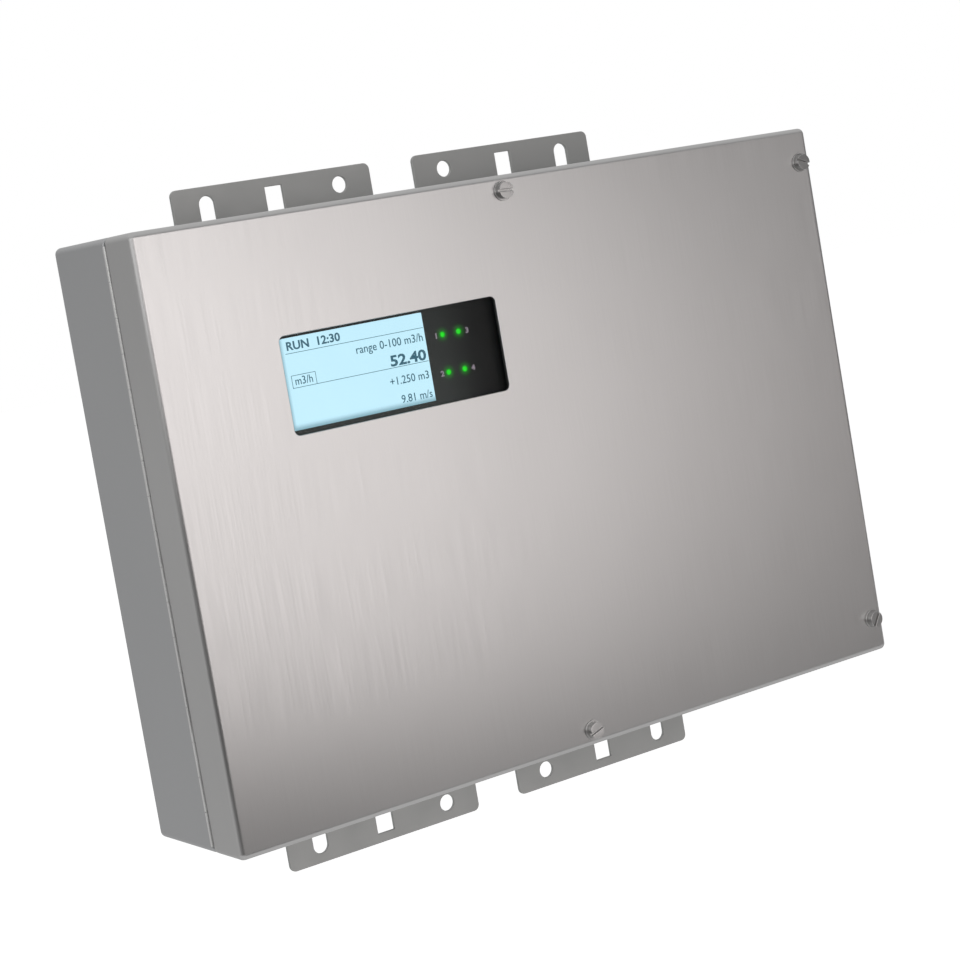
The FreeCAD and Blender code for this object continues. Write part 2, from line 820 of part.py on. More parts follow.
def make_window():
    """Gasket, pane, clamp frame, and the studs and nuts that press the frame on."""
    pane_outline = rectangle(pane_x, pane_z, s.window_corner)
    gasket_span = span_from(panel_inside, s.window_seal)
    gasket_blank = slab("window_gasket_blank", "XZ_Plane", pane_outline, gasket_span)
    cut_span = inset(gasket_span, -past)
    opening = rectangle(window_x, window_z, s.window_corner)
    gasket_middle = slab("window_gasket_middle", "XZ_Plane", opening, cut_span)
    keep("window_gasket", cut("window_gasket", gasket_blank, [gasket_middle]))
    keep("window_pane", slab("window_pane", "XZ_Plane", pane_outline, pane_span))
    frame = slab("window_frame_blank", "XZ_Plane", rectangle(frame_x, frame_z, s.window_corner), frame_span)
    frame_mouth = rectangle(inset(window_x, -s.frame_open), inset(window_z, -s.frame_open), s.window_corner)
    tools = [slab("window_frame_mouth", "XZ_Plane", frame_mouth, inset(frame_span, -past))]
    stud_x = inset(frame_x, s.stud_inset)
    stud_z = inset(frame_z, s.stud_inset)
    places = [(x, z) for x in (stud_x[0], (stud_x[0] + stud_x[1]) / 2, stud_x[1]) for z in stud_z]
    studs = []
    nuts = []
    hole = s.window_stud + 2 * s.small_play
    nut_bore = s.window_stud + 2 * s.thread_gap
    for i, place_xz in enumerate(places):
        tools.append(rod(f"frame_hole_{i}", "Y", hole, place_xz, inset(frame_span, -past)))
        stud_span = span_from(panel_inside, s.window_stud_length)
        studs.append(rod(f"window_stud_{i}", "Y", s.window_stud, place_xz, stud_span))
        nut_span = span_from(frame_span[1], s.window_nut)
        nuts.append(hex_nut(f"window_nut_{i}", "Y", s.window_nut_flats, nut_bore, place_xz, nut_span))
    keep("window_frame", cut("window_frame", frame, tools))
    group("window_studs", studs)
    group("window_nuts", nuts)


# Display unit behind the window

mask_x = inset(window_x, -s.mask_lap)
mask_z = inset(window_z, -s.mask_lap)
mask_front = pane_span[1] + s.mask_gap
mask_span = span_from(mask_front, s.mask_depth)
display_span = span_from(mask_span[1], s.board)
plate_front = display_span[1] + s.display_spacer
plate_rear = plate_front + s.plate_sheet
lcd_x = (window_x[0] + s.lcd_left, window_x[0] + s.lcd_left + s.lcd_width)
lcd_z = (window_z[1] - s.lcd_drop - s.lcd_height, window_z[1] - s.lcd_drop)
lcd_span = span_from(mask_front + s.lcd_recess, s.lcd_thick)
lamp_places = [
    (window_x[0] + s.lamp_left + i * s.lamp_pitch, window_z[1] - s.lamp_drop - j * s.lamp_row)
    for i in range(2) for j in range(2)
]


def make_spaced_board(board, spacers, screws, places, gap, spacer_flats):
    """Hexagon spacers behind a board and screws through it; gap is the span of the spacers."""
    bore = s.small_screw + 2 * s.thread_gap
    board_span = board
    spacer_solids = []
    screw_solids = []
    for i, place_xz in enumerate(places):
        spacer_solids.append(hex_nut(f"{spacers}_{i}", "Y", spacer_flats, bore, place_xz, gap))
        head_span = span_to(board_span[0], s.small_head_height)
        shank_span = (board_span[0], board_span[1] + s.small_grip)
        name = f"{screws}_{i}"
        screw_solids.append(screw(name, s.small_head, s.small_screw, place_xz, head_span, shank_span))
    group(spacers, spacer_solids)
    group(screws, screw_solids)


def screw_holes(name, places, span):
    """Clearance holes for small screws."""
    hole = s.small_screw + 2 * s.small_play
    through = inset(span, -past)
    return [rod(f"{name}_screw_hole_{i}", "Y", hole, xz, through) for i, xz in enumerate(places)]


def corner_places(x, z, amount):
    """The four corners of a rectangle, drawn in."""
    return [(u, v) for u in inset(x, amount) for v in inset(z, amount)]


def make_display():
    """The readout in its tray, the lamps, the black mask over them and the board that carries them."""
    outer = slab("mask_outside", "XZ_Plane", rectangle(mask_x, mask_z, s.window_corner), mask_span)
    cavity_span = (mask_front + s.mask_wall, mask_span[1] + past)
    inner = rectangle(inset(mask_x, s.mask_wall), inset(mask_z, s.mask_wall), s.window_corner - s.mask_wall)
    front_span = (mask_front - past, mask_front + s.mask_wall + past)
    tools = [
        slab("mask_inside", "XZ_Plane", inner, cavity_span),
        box("mask_readout", inset(lcd_x, -s.lcd_fit), front_span, inset(lcd_z, -s.lcd_fit)),
    ]
    for i, place_xz in enumerate(lamp_places):
        tools.append(rod(f"mask_lamp_{i}", "Y", s.lamp + 2 * s.lamp_fit, place_xz, front_span))
    keep("display_mask", cut("display_mask", outer, tools))

    keep("lcd_glass", box("lcd_glass", lcd_x, lcd_span, lcd_z))
    tray_front = lcd_span[1] - s.tray_lip
    rim = s.lcd_fit + s.tray_rim
    tray = box("tray_blank", inset(lcd_x, -rim), (tray_front, display_span[0]), inset(lcd_z, -rim))
    pocket_span = (tray_front - past, lcd_span[1])
    pocket = box("tray_pocket", inset(lcd_x, -s.lcd_fit), pocket_span, inset(lcd_z, -s.lcd_fit))
    keep("lcd_tray", cut("lcd_tray", tray, [pocket]))

    lamps = []
    collar_span = span_to(display_span[0], s.lamp_collar_height)
    for i, place_xz in enumerate(lamp_places):
        stem = rod(f"lamp_stem_{i}", "Y", s.lamp, place_xz, (mask_front, display_span[0]))
        collar = rod(f"lamp_collar_{i}", "Y", s.lamp_collar, place_xz, collar_span)
        lamps.append(fuse(f"status_lamp_{i}", [stem, collar]))
    group("status_lamps", lamps)

    board_x = inset(window_x, -s.display_rim_x)
    board_z = inset(window_z, -s.display_rim_z)
    places = corner_places(board_x, board_z, s.display_screw_inset)
    blank = box("display_board_blank", board_x, display_span, board_z)
    keep("display_board", cut("display_board", blank, screw_holes("display_board", places, display_span)))
    gap = (display_span[1], plate_front)
    make_spaced_board(display_span, "display_spacers", "display_screws", places, gap, s.small_flats)


# Inner chassis and front plate

chassis_rear = rear_inside - s.chassis_gap
chassis_front = chassis_rear - s.chassis_sheet
chassis_x = inset(box_x, s.chassis_inset)
chassis_z = (bottom + s.chassis_low, top - s.chassis_drop)
plate_x = (left + s.plate_left, right - s.plate_right)
plate_z = (top - s.plate_drop - s.plate_height, top - s.plate_drop)


def make_chassis():
    """The inner mounting plate on four welded studs."""
    places = corner_places(chassis_x, chassis_z, s.stud_edge)
    span = (chassis_front, chassis_rear)
    blank = box("chassis_blank", chassis_x, span, chassis_z)
    hole = s.chassis_stud + 2 * s.bolt_play
    holes = [rod(f"chassis_hole_{i}", "Y", hole, xz, inset(span, -past)) for i, xz in enumerate(places)]
    keep("chassis_plate", cut("chassis_plate", blank, holes))
    studs = []
    nuts = []
    for i, place_xz in enumerate(places):
        shoulder_span = (chassis_rear, rear_inside)
        shoulder = rod(f"chassis_shoulder_{i}", "Y", s.chassis_shoulder, place_xz, shoulder_span)
        thread_span = (chassis_front - s.chassis_stud_end, chassis_rear)
        thread = rod(f"chassis_thread_{i}", "Y", s.chassis_stud, place_xz, thread_span)
        studs.append(fuse(f"chassis_stud_{i}", [shoulder, thread]))
        nut_span = span_to(chassis_front, s.chassis_nut)
        bore = s.chassis_stud + 2 * s.thread_gap
        nuts.append(hex_nut(f"chassis_nut_{i}", "Y", s.chassis_nut_flats, bore, place_xz, nut_span))
    group("chassis_studs", studs)
    group("chassis_nuts", nuts)


def make_operating_plate():
    """The folded inner front plate on tall pillars, with its film keypad."""
    fold = plate_front + s.plate_fold
    inner_bend = s.plate_bend - s.plate_sheet
    low, high = plate_z
    profile = [
        (plate_front, low, s.plate_bend),
        (plate_front, high, s.plate_bend),
        (fold, high, 0),
        (fold, high - s.plate_sheet, 0),
        (plate_rear, high - s.plate_sheet, inner_bend),
        (plate_rear, low + s.plate_sheet, inner_bend),
        (fold, low + s.plate_sheet, 0),
        (fold, low, 0),
    ]
    blank = slab("operating_blank", "YZ_Plane", profile, plate_x)
    span = (plate_front, plate_rear)
    places = corner_places(plate_x, plate_z, s.pillar_inset)
    tools = screw_holes("operating_plate", places, span)
    slot_span_x = around((window_x[0] + window_x[1]) / 2, s.wire_slot_width)
    slot_span_z = around((window_z[0] + window_z[1]) / 2, s.wire_slot_height)
    tools.append(box("operating_wire_slot", slot_span_x, inset(span, -past), slot_span_z))
    keep("operating_plate", cut("operating_plate", blank, tools))
    gap = (plate_rear, chassis_front)
    make_spaced_board(span, "operating_pillars", "operating_screws", places, gap, s.pillar_flats)

    foil_x = (window_x[1] + s.keypad_left, plate_x[1] - s.keypad_right)
    foil_z = inset(plate_z, s.keypad_margin)
    centre_x = (foil_x[0] + foil_x[1]) / 2
    centre_z = (low + high) / 2
    foil_span = span_to(plate_front, s.foil)
    pieces = [slab("keypad_sheet", "XZ_Plane", rectangle(foil_x, foil_z, s.keypad_corner), foil_span)]
    for i, (across, up) in enumerate(((0, 0), (-1, 0), (1, 0), (0, -1), (0, 1))):
        x = centre_x + across * s.key_pitch
        z = centre_z + up * s.key_pitch
        key_outline = rectangle(around(x, s.key), around(z, s.key), s.key_corner)
        pieces.append(slab(f"key_{i}", "XZ_Plane", key_outline, span_to(foil_span[1], s.foil + s.key_rise)))
    keep("keypad_foil", fuse("keypad_foil", pieces))


# Terminal board

board_x = inset(box_x, s.board_inset)
board_z = (bottom + s.board_low, plate_z[0] - s.level_gap)
board_rear = chassis_front - s.board_spacer
board_front = board_rear - s.board
terminal_z = span_from(board_z[0] + s.terminal_rise, s.terminal_height)
upper_row_z = board_z[1] - s.upper_row


def make_main_board():
    """The long terminal board on hexagon spacers."""
    span = (board_front, board_rear)
    screw_x = inset(board_x, s.board_screw_inset)
    screw_z = (terminal_z[1] + s.board_screw_inset, board_z[1] - s.board_screw_inset)
    places = [(x, z) for x in (screw_x[0], (screw_x[0] + screw_x[1]) / 2, screw_x[1]) for z in screw_z]
    blank = box("main_board_blank", board_x, span, board_z)
    keep("main_board", cut("main_board", blank, screw_holes("main_board", places, span)))
    gap = (board_rear, chassis_front)
    make_spaced_board(span, "board_spacers", "board_screws", places, gap, s.small_flats)


def make_terminal_row(name, start, pitch, poles):
    """A terminal row: stepped body, wire openings below, screw wells in front. Returns its screws."""
    low, high = terminal_z
    deep = board_front - s.terminal_depth
    step_y = deep + s.terminal_step
    step_z = low + s.terminal_step
    profile = [
        (board_front, low, 0),
        (board_front, high, 0),
        (deep, high, 0),
        (deep, step_z, 0),
        (step_y, step_z, 0),
        (step_y, low, 0),
    ]
    body = slab(f"{name}_body", "YZ_Plane", profile, (start, start + pitch * poles))
    wire_y = (step_y + board_front) / 2
    well_z = (step_z + high) / 2
    tools = []
    screws = []
    for i in range(poles):
        x = start + pitch * (i + 0.5)
        wire_z = (low - past, low + s.terminal_wire_depth)
        wire_x = around(x, s.terminal_wire)
        tools.append(box(f"{name}_wire_{i}", wire_x, around(wire_y, s.terminal_wire), wire_z))
        well = span_from(deep, s.terminal_screw_depth)
        tools.append(rod(f"{name}_well_{i}", "Y", s.terminal_screw, (x, well_z), (deep - past, well[1])))
        head = s.terminal_screw - 2 * s.small_play
        head_span = span_to(well[1], s.small_head_height)
        screws.append(rod(f"{name}_screw_{i}", "Y", head, (x, well_z), head_span))
    keep(name, cut(name, body, tools))
    return screws


def make_terminals():
    """Supply, output and transducer terminals in one row along the board's lower edge."""
    start = board_x[0] + s.board_screw_inset
    screws = make_terminal_row("transducer_terminals", start, s.signal_pitch, SIZES["transducer_poles"])
    start = start + s.signal_pitch * s.transducer_poles + s.terminal_gap
    screws += make_terminal_row("output_terminals", start, s.signal_pitch, SIZES["output_poles"])
    start = board_x[1] - s.board_screw_inset - s.supply_pitch * s.supply_poles
    screws += make_terminal_row("supply_terminals", start, s.supply_pitch, SIZES["supply_poles"])
    group("terminal_screws", screws)


def make_board_pieces():
    """Fuse, backup cell, chips, capacitors and the shield over the signal stage."""
    fuse_place = (board_x[1] - s.fuse_offset, upper_row_z)
    holder_span = span_to(board_front, s.fuse_height)
    keep("fuse_holder", rod("fuse_holder", "Y", s.fuse, fuse_place, holder_span))
    cap_span = span_to(holder_span[0], s.fuse_cap_height)
    cap = rod("fuse_cap_blank", "Y", s.fuse_cap, fuse_place, cap_span)
    cap_slot_x = around(fuse_place[0], s.fuse_cap + 2 * past)
    cap_slot_z = around(fuse_place[1], s.screw_slot)
    cap_slot_y = (cap_span[0] - past, cap_span[0] + s.screw_slot_depth)
    cap_slot = box("fuse_cap_slot", cap_slot_x, cap_slot_y, cap_slot_z)
    keep("fuse_cap", cut("fuse_cap", cap, [cap_slot]))

    cell_place = (board_x[1] - s.cell_offset, upper_row_z)
    floor_span = span_to(board_front, s.holder_floor)
    cell_span = span_to(floor_span[0], s.cell_thick)
    holder_outer = s.cell + 2 * (s.small_play + s.holder_wall)
    holder = rod("battery_holder_blank", "Y", holder_outer, cell_place, (cell_span[0] + past, board_front))
    room = rod("battery_room", "Y", s.cell + 2 * s.small_play, cell_place, (cell_span[0], floor_span[0]))
    keep("battery_holder", cut("battery_holder", holder, [room]))
    keep("backup_battery", rod("backup_battery", "Y", s.cell, cell_place, cell_span))

    chips = []
    for i in range(SIZES["chip_count"]):
        x = board_x[1] - s.chip_offset + (i - 1) * s.chip_pitch
        chip_span = span_to(board_front, s.chip_thick)
        chips.append(box(f"board_chip_{i}", around(x, s.chip), chip_span, around(upper_row_z, s.chip)))
    group("board_chips", chips)

    capacitors = []
    capacitor_x = board_x[1] - s.capacitor_offset - s.capacitor / 2
    for i in range(SIZES["capacitor_count"]):
        place_xz = (capacitor_x - i * s.capacitor_pitch, upper_row_z)
        span = span_to(board_front, s.capacitor_height)
        capacitors.append(rod(f"board_capacitor_{i}", "Y", s.capacitor, place_xz, span))
    group("board_capacitors", capacitors)

    shield_x = span_from(board_x[0] + s.shield_inset, s.shield_width)
    shield_z = span_to(board_z[1] - s.shield_inset, s.shield_height)
    shield_span = span_to(board_front, s.shield_depth)
    shell = box("shield_blank", shield_x, shield_span, shield_z)
    room_span = (shield_span[0] + s.shield_sheet, board_front + past)
    room_x = inset(shield_x, s.shield_sheet)
    shield_room = box("shield_room", room_x, room_span, inset(shield_z, s.shield_sheet))
    keep("signal_shield", cut("signal_shield", shell, [shield_room]))


def make_modules():
    """The encased power supply and the measuring module on the chassis plate."""
    module_z = inset(plate_z, s.module_margin)
    folds = s.module_bend, s.module_bend
    supply_x = span_to(plate_x[1] - s.module_gap, s.supply_width)
    supply_span = span_to(chassis_front, s.supply_depth)
    case = folded_block("power_supply_case", supply_x, supply_span, module_z, *folds)
    vents = []
    for i in range(SIZES["vent_count"]):
        x = supply_x[0] + s.vent_margin + i * s.vent_pitch
        vent_span = (supply_span[0] - past, supply_span[0] + s.vent_depth)
        vent_z = inset(module_z, s.vent_margin)
        vents.append(box(f"supply_vent_{i}", span_from(x, s.vent), vent_span, vent_z))
    keep("power_supply", cut("power_supply", case, vents))
    measuring_x = (plate_x[0] + s.module_gap, supply_x[0] - s.module_space)
    measuring_span = span_to(chassis_front, s.measuring_depth)
    block = folded_block("measuring_module", measuring_x, measuring_span, module_z, *folds)
    keep("measuring_module", block)


# Cable entries and earthing point in the bottom wall

def make_entries():
    """Closed cable entries: slotted plugs, seals and locknuts."""
    plugs = []
    seals = []
    locknuts = []
    floor_inside = bottom + s.sheet
    seal_span = (bottom - s.entry_seal, bottom)
    flange_span = (seal_span[0] - s.entry_flange_height, seal_span[0])
    for i, place_xy in enumerate(entry_places):
        x, y = place_xy
        head = rod(f"plug_flange_{i}", "Z", s.entry_flange, place_xy, flange_span)
        stem_span = (seal_span[0], floor_inside + s.entry_rise)
        stem = rod(f"plug_stem_{i}", "Z", s.entry_stem, place_xy, stem_span)
        bore = rod(f"plug_bore_{i}", "Z", s.entry_stem_bore, place_xy, (stem_span[0], stem_span[1] + past))
        slot_x = around(x, s.entry_flange + 2 * past)
        slot_z = (flange_span[0] - past, flange_span[0] + s.entry_slot_depth)
        slot = box(f"plug_slot_{i}", slot_x, around(y, s.entry_slot), slot_z)
        plugs.append(cut(f"entry_plug_{i}", fuse(f"plug_blank_{i}", [head, stem]), [bore, slot]))
        seal_outer = s.entry_flange - 2 * s.entry_seal_rim
        seals.append(ring(f"entry_seal_{i}", "Z", seal_outer, s.entry_hole, place_xy, seal_span))
        nut_bore = s.entry_stem + 2 * s.thread_gap
        nut_span = (floor_inside, floor_inside + s.locknut)
        locknuts.append(hex_nut(f"entry_locknut_{i}", "Z", s.locknut_flats, nut_bore, place_xy, nut_span))
    group("entry_plugs", plugs)
    group("entry_seals", seals)
    group("entry_locknuts", locknuts)


def make_earth_point():
    """A stud through the bottom wall with nuts and washers on both sides."""
    floor_inside = bottom + s.sheet
    stud_span = (bottom - s.earth_reach, floor_inside + s.earth_inside)
    keep("earth_stud", rod("earth_stud", "Z", s.earth_stud, earth_place, stud_span))
    bore = s.earth_stud + 2 * s.thread_gap
    thick = s.earth_washer_thick
    inner = floor_inside + thick
    outer = bottom - thick
    clamp = outer - s.bolt_nut
    nut_spans = [(inner, inner + s.bolt_nut), (clamp, outer), (clamp - thick - s.bolt_nut, clamp - thick)]
    washer_spans = [(floor_inside, inner), (outer, bottom), (clamp - thick, clamp)]
    nuts = []
    washers = []
    for i in range(len(nut_spans)):
        nuts.append(hex_nut(f"earth_nut_{i}", "Z", s.bolt_flats, bore, earth_place, nut_spans[i]))
        washers.append(ring(f"earth_washer_{i}", "Z", s.earth_washer, bore, earth_place, washer_spans[i]))
    group("earth_nuts", nuts)
    group("earth_washers", washers)


def write_parts():
    """Check every object, then write one file for each sub-part."""
    doc.recompute()
    for thing in doc.Objects:
        faults = [state for state in thing.State if state in ("Invalid", "Error")]
        if faults:
            raise RuntimeError(f"{thing.Label} is not built: {thing.State}")
    for thing in sub_parts:
        shape = thing.Shape
        if shape.isNull() or not shape.isValid() or not shape.Solids:
            raise RuntimeError(f"{thing.Label} has no valid solid")
    os.makedirs("parts", exist_ok=True)
    for thing in sub_parts:
        thing.Shape.exportStep(f"parts/{thing.Label}.step")


make_rear_housing()
for bracket_level in bracket_levels:
    for bracket_side in bracket_sides:
        make_bracket(bracket_level, bracket_side)
make_bracket_bolts()
make_front_cover()
make_cover_gasket()
make_cover_screws()
make_hinge()
make_window()
make_display()
make_chassis()
make_operating_plate()
make_main_board()
make_terminals()
make_board_pieces()
make_modules()
make_entries()
make_earth_point()
write_parts()
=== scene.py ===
"""Ultrasonic gas meter in a folded steel wall housing: its looks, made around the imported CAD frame.

Metres, in the frame of the CAD part: the front faces -Y, the wall is the plane y = 0 and Z is up.
Run as a script it makes every piece. The panel in the sidebar has a button for each group of pieces.
"""

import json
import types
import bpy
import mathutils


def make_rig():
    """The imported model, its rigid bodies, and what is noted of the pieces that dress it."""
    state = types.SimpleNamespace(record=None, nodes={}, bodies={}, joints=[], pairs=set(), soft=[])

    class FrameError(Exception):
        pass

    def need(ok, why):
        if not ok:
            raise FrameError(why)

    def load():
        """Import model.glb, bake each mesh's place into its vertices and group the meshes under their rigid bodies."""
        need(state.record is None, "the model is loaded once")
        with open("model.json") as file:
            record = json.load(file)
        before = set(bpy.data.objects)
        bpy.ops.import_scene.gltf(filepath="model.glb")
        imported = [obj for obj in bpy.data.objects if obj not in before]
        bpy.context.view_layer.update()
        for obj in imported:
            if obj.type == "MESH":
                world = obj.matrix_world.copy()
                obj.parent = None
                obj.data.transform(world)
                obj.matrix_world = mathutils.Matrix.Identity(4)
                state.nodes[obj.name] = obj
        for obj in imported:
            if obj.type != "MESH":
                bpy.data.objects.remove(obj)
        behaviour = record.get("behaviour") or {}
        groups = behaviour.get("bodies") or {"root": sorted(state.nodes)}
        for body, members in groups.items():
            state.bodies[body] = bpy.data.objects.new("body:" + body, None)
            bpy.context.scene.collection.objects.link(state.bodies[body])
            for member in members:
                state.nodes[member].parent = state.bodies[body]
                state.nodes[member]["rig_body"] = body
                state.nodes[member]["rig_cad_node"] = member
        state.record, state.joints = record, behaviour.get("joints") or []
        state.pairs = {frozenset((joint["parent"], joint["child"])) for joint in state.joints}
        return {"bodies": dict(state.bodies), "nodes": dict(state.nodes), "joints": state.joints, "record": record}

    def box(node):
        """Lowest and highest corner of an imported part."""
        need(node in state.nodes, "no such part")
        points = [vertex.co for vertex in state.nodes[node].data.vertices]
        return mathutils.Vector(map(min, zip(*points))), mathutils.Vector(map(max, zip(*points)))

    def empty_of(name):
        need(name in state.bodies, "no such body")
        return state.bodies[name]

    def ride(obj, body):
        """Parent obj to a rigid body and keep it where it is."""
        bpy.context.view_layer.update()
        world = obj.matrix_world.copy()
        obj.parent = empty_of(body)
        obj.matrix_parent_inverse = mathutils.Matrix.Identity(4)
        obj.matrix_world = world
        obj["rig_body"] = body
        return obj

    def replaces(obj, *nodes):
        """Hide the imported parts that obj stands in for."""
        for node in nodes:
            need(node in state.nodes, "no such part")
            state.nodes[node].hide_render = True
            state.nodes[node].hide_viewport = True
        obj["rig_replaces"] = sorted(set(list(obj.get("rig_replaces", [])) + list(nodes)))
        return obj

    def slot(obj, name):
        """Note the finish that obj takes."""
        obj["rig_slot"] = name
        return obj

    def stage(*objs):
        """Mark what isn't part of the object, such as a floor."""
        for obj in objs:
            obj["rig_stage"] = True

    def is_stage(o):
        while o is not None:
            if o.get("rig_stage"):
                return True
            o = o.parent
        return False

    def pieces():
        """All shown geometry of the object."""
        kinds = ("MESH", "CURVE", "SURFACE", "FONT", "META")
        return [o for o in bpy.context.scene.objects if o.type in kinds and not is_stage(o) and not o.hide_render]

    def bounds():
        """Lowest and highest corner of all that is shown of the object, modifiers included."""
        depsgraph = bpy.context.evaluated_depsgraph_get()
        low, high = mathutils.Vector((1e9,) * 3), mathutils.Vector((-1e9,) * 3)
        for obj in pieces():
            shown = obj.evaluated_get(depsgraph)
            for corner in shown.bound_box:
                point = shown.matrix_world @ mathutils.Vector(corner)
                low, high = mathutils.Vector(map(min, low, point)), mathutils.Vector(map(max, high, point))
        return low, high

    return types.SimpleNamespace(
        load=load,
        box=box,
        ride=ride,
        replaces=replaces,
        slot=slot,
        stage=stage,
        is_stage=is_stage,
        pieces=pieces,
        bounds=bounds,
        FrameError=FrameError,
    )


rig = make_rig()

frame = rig.load()
cad_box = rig.bounds()

import json
import math
import random

import bmesh
import bpy
from bpy.props import FloatProperty, FloatVectorProperty, IntProperty, PointerProperty, StringProperty
from mathutils import Matrix, Quaternion, Vector

bl_info = {
    "name": "Ultrasonic gas meter",
    "version": (1, 0, 0),
    "blender": (4, 5, 0),
    "location": "View3D > Sidebar > Gas meter",
    "description": "Finishes and small details for the wall housing of an ultrasonic gas meter",
    "category": "Object",
}

MM = 0.001
WELD = 0.001 * MM                 # vertices nearer than this are one
FLAT = math.radians(0.4)          # faces that turn less than this are one plane
CREASE = math.radians(32)         # edges that turn more than this are broken or kept sharp
FRONT = Vector((0, -1, 0))        # the way that the object faces
QUARTER_TURNS = [Matrix.Rotation(math.radians(turn), 3, "Y") for turn in (0, 90, 180, 270)]
SLOT_OF = {part["node"]: part["material_slot"] for part in frame["record"]["subparts"]}


# Settings


def colour_setting(name, description, default):
    """A colour."""
    return FloatVectorProperty(
        name=name, description=description, subtype="COLOR", min=0, max=1, default=default)


def share_setting(name, description, default):
    """A share from 0 to 1."""
    return FloatProperty(name=name, description=description, subtype="FACTOR", min=0, max=1, default=default)


def length_setting(name, description, default, low, high):
    """A length between two limits."""
    return FloatProperty(
        name=name, description=description, subtype="DISTANCE", unit="LENGTH",
        min=low, max=high, default=default, precision=5)


def point_setting(name, description, default):
    """A point in the frame of the CAD part."""
    return FloatVectorProperty(
        name=name, description=description, subtype="TRANSLATION", unit="LENGTH", default=default)


def size_setting(name, description, default):
    """A width and a height."""
    return FloatVectorProperty(
        name=name, description=description, size=2, subtype="XYZ", unit="LENGTH", default=default)


def angle_setting(name, description, degrees):
    """An angle."""
    return FloatProperty(
        name=name, description=description, subtype="ANGLE", unit="ROTATION", default=math.radians(degrees))


def power_setting(name, description, default):
    """The power of a light."""
    return FloatProperty(
        name=name, description=description, subtype="POWER", unit="POWER", min=0, max=100, default=default)


class SteelSettings(bpy.types.PropertyGroup):
    """The folded stainless sheet of the cover, the housing and the brackets."""

    cover_colour: colour_setting("Cover colour", "Brushed steel of the front cover", (0.5, 0.497, 0.494))
    cover_roughness: share_setting("Cover roughness", "How far the brushed face spreads a reflection", 0.32)
    cover_stretch: share_setting(
        "Cover stretch", "How far the cover's upright grain draws a reflection out sideways", 0.75)
    housing_colour: colour_setting("Housing colour", "Satin steel of the rear housing", (0.46, 0.464, 0.47))
    housing_roughness: share_setting(
        "Housing roughness", "How far the satin sheet spreads a reflection", 0.42)
    housing_stretch: share_setting(
        "Housing stretch", "How far the housing's upright grain draws a reflection out sideways", 0.3)
    bracket_colour: colour_setting("Bracket colour", "Dull steel of the wall brackets", (0.44, 0.444, 0.438))
    bracket_roughness: share_setting(
        "Bracket roughness", "How far the bracket sheet spreads a reflection", 0.6)
    grain_width: length_setting("Grain width", "Width of a brushing line", 0.7 * MM, 0.1 * MM, 5 * MM)
    grain_length: length_setting("Grain length", "Length of a brushing line", 45 * MM, 1 * MM, 400 * MM)
    sheet_edge: length_setting(
        "Sheet edge", "Radius that breaks the cut edges of the sheet", 0.3 * MM, 0.02 * MM, 0.6 * MM)
    hardware_edge: length_setting(
        "Hardware edge", "Radius that breaks the edges of screws, bolts and nuts",
        0.18 * MM, 0.02 * MM, 0.4 * MM)


class WindowSettings(bpy.types.PropertyGroup):
    """What shows in the window: the readout, the dark surround and the status lamps."""

    light_colour: colour_setting("Back light", "Lit field of the readout", (0.56, 0.867, 0.998))
    edge_colour: colour_setting("Back light edge", "Field where the back light fades", (0.23, 0.42, 0.5))
    ink_colour: colour_setting("Readout ink", "Darkened segments of the readout", (0.02, 0.125, 0.185))
    surround_colour: colour_setting("Surround", "Dark mask beside the readout", (0.004, 0.0045, 0.0045))
    # painted light: the mask glows in this colour beside the readout
    spill_colour: colour_setting(
        "Spill", "Light of the readout that spills over the mask beside it", (0.034, 0.038, 0.036))
    lamp_colour: colour_setting("Lamp", "Lit status lamps", (0.014, 0.77, 0.016))
    title: StringProperty(name="Title", description="Upper left of the readout", default="RUN  12:30")
    span: StringProperty(name="Span", description="Range shown over the value", default="range 0-100 m3/h")
    value: StringProperty(name="Value", description="Large reading", default="52.40")
    unit: StringProperty(name="Unit", description="Boxed unit of the large reading", default="m3/h")
    total: StringProperty(name="Total", description="Counted volume", default="+1.250 m3")
    speed: StringProperty(name="Speed", description="Speed of the gas", default="9.81 m/s")


class InsideSettings(bpy.types.PropertyGroup):
    """What the open cover uncovers: boards, terminals, plates and the keypad."""

    board_colour: colour_setting("Board", "Lacquer of the circuit boards", (0.015, 0.12, 0.05))
    terminal_colour: colour_setting("Terminals", "Moulded terminal rows", (0.06, 0.33, 0.12))
    plate_colour: colour_setting("Inner plate", "Paint of the inner front plate", (0.56, 0.57, 0.57))
    keypad_colour: colour_setting("Keypad", "Film of the keypad", (0.13, 0.16, 0.2))
    small_parts: IntProperty(
        name="Small parts", description="Places for small chip parts on the board, some of them left free",
        min=0, max=200, default=84)
    tracks: IntProperty(
        name="Tracks", description="How many copper tracks run on the board", min=0, max=200, default=64)


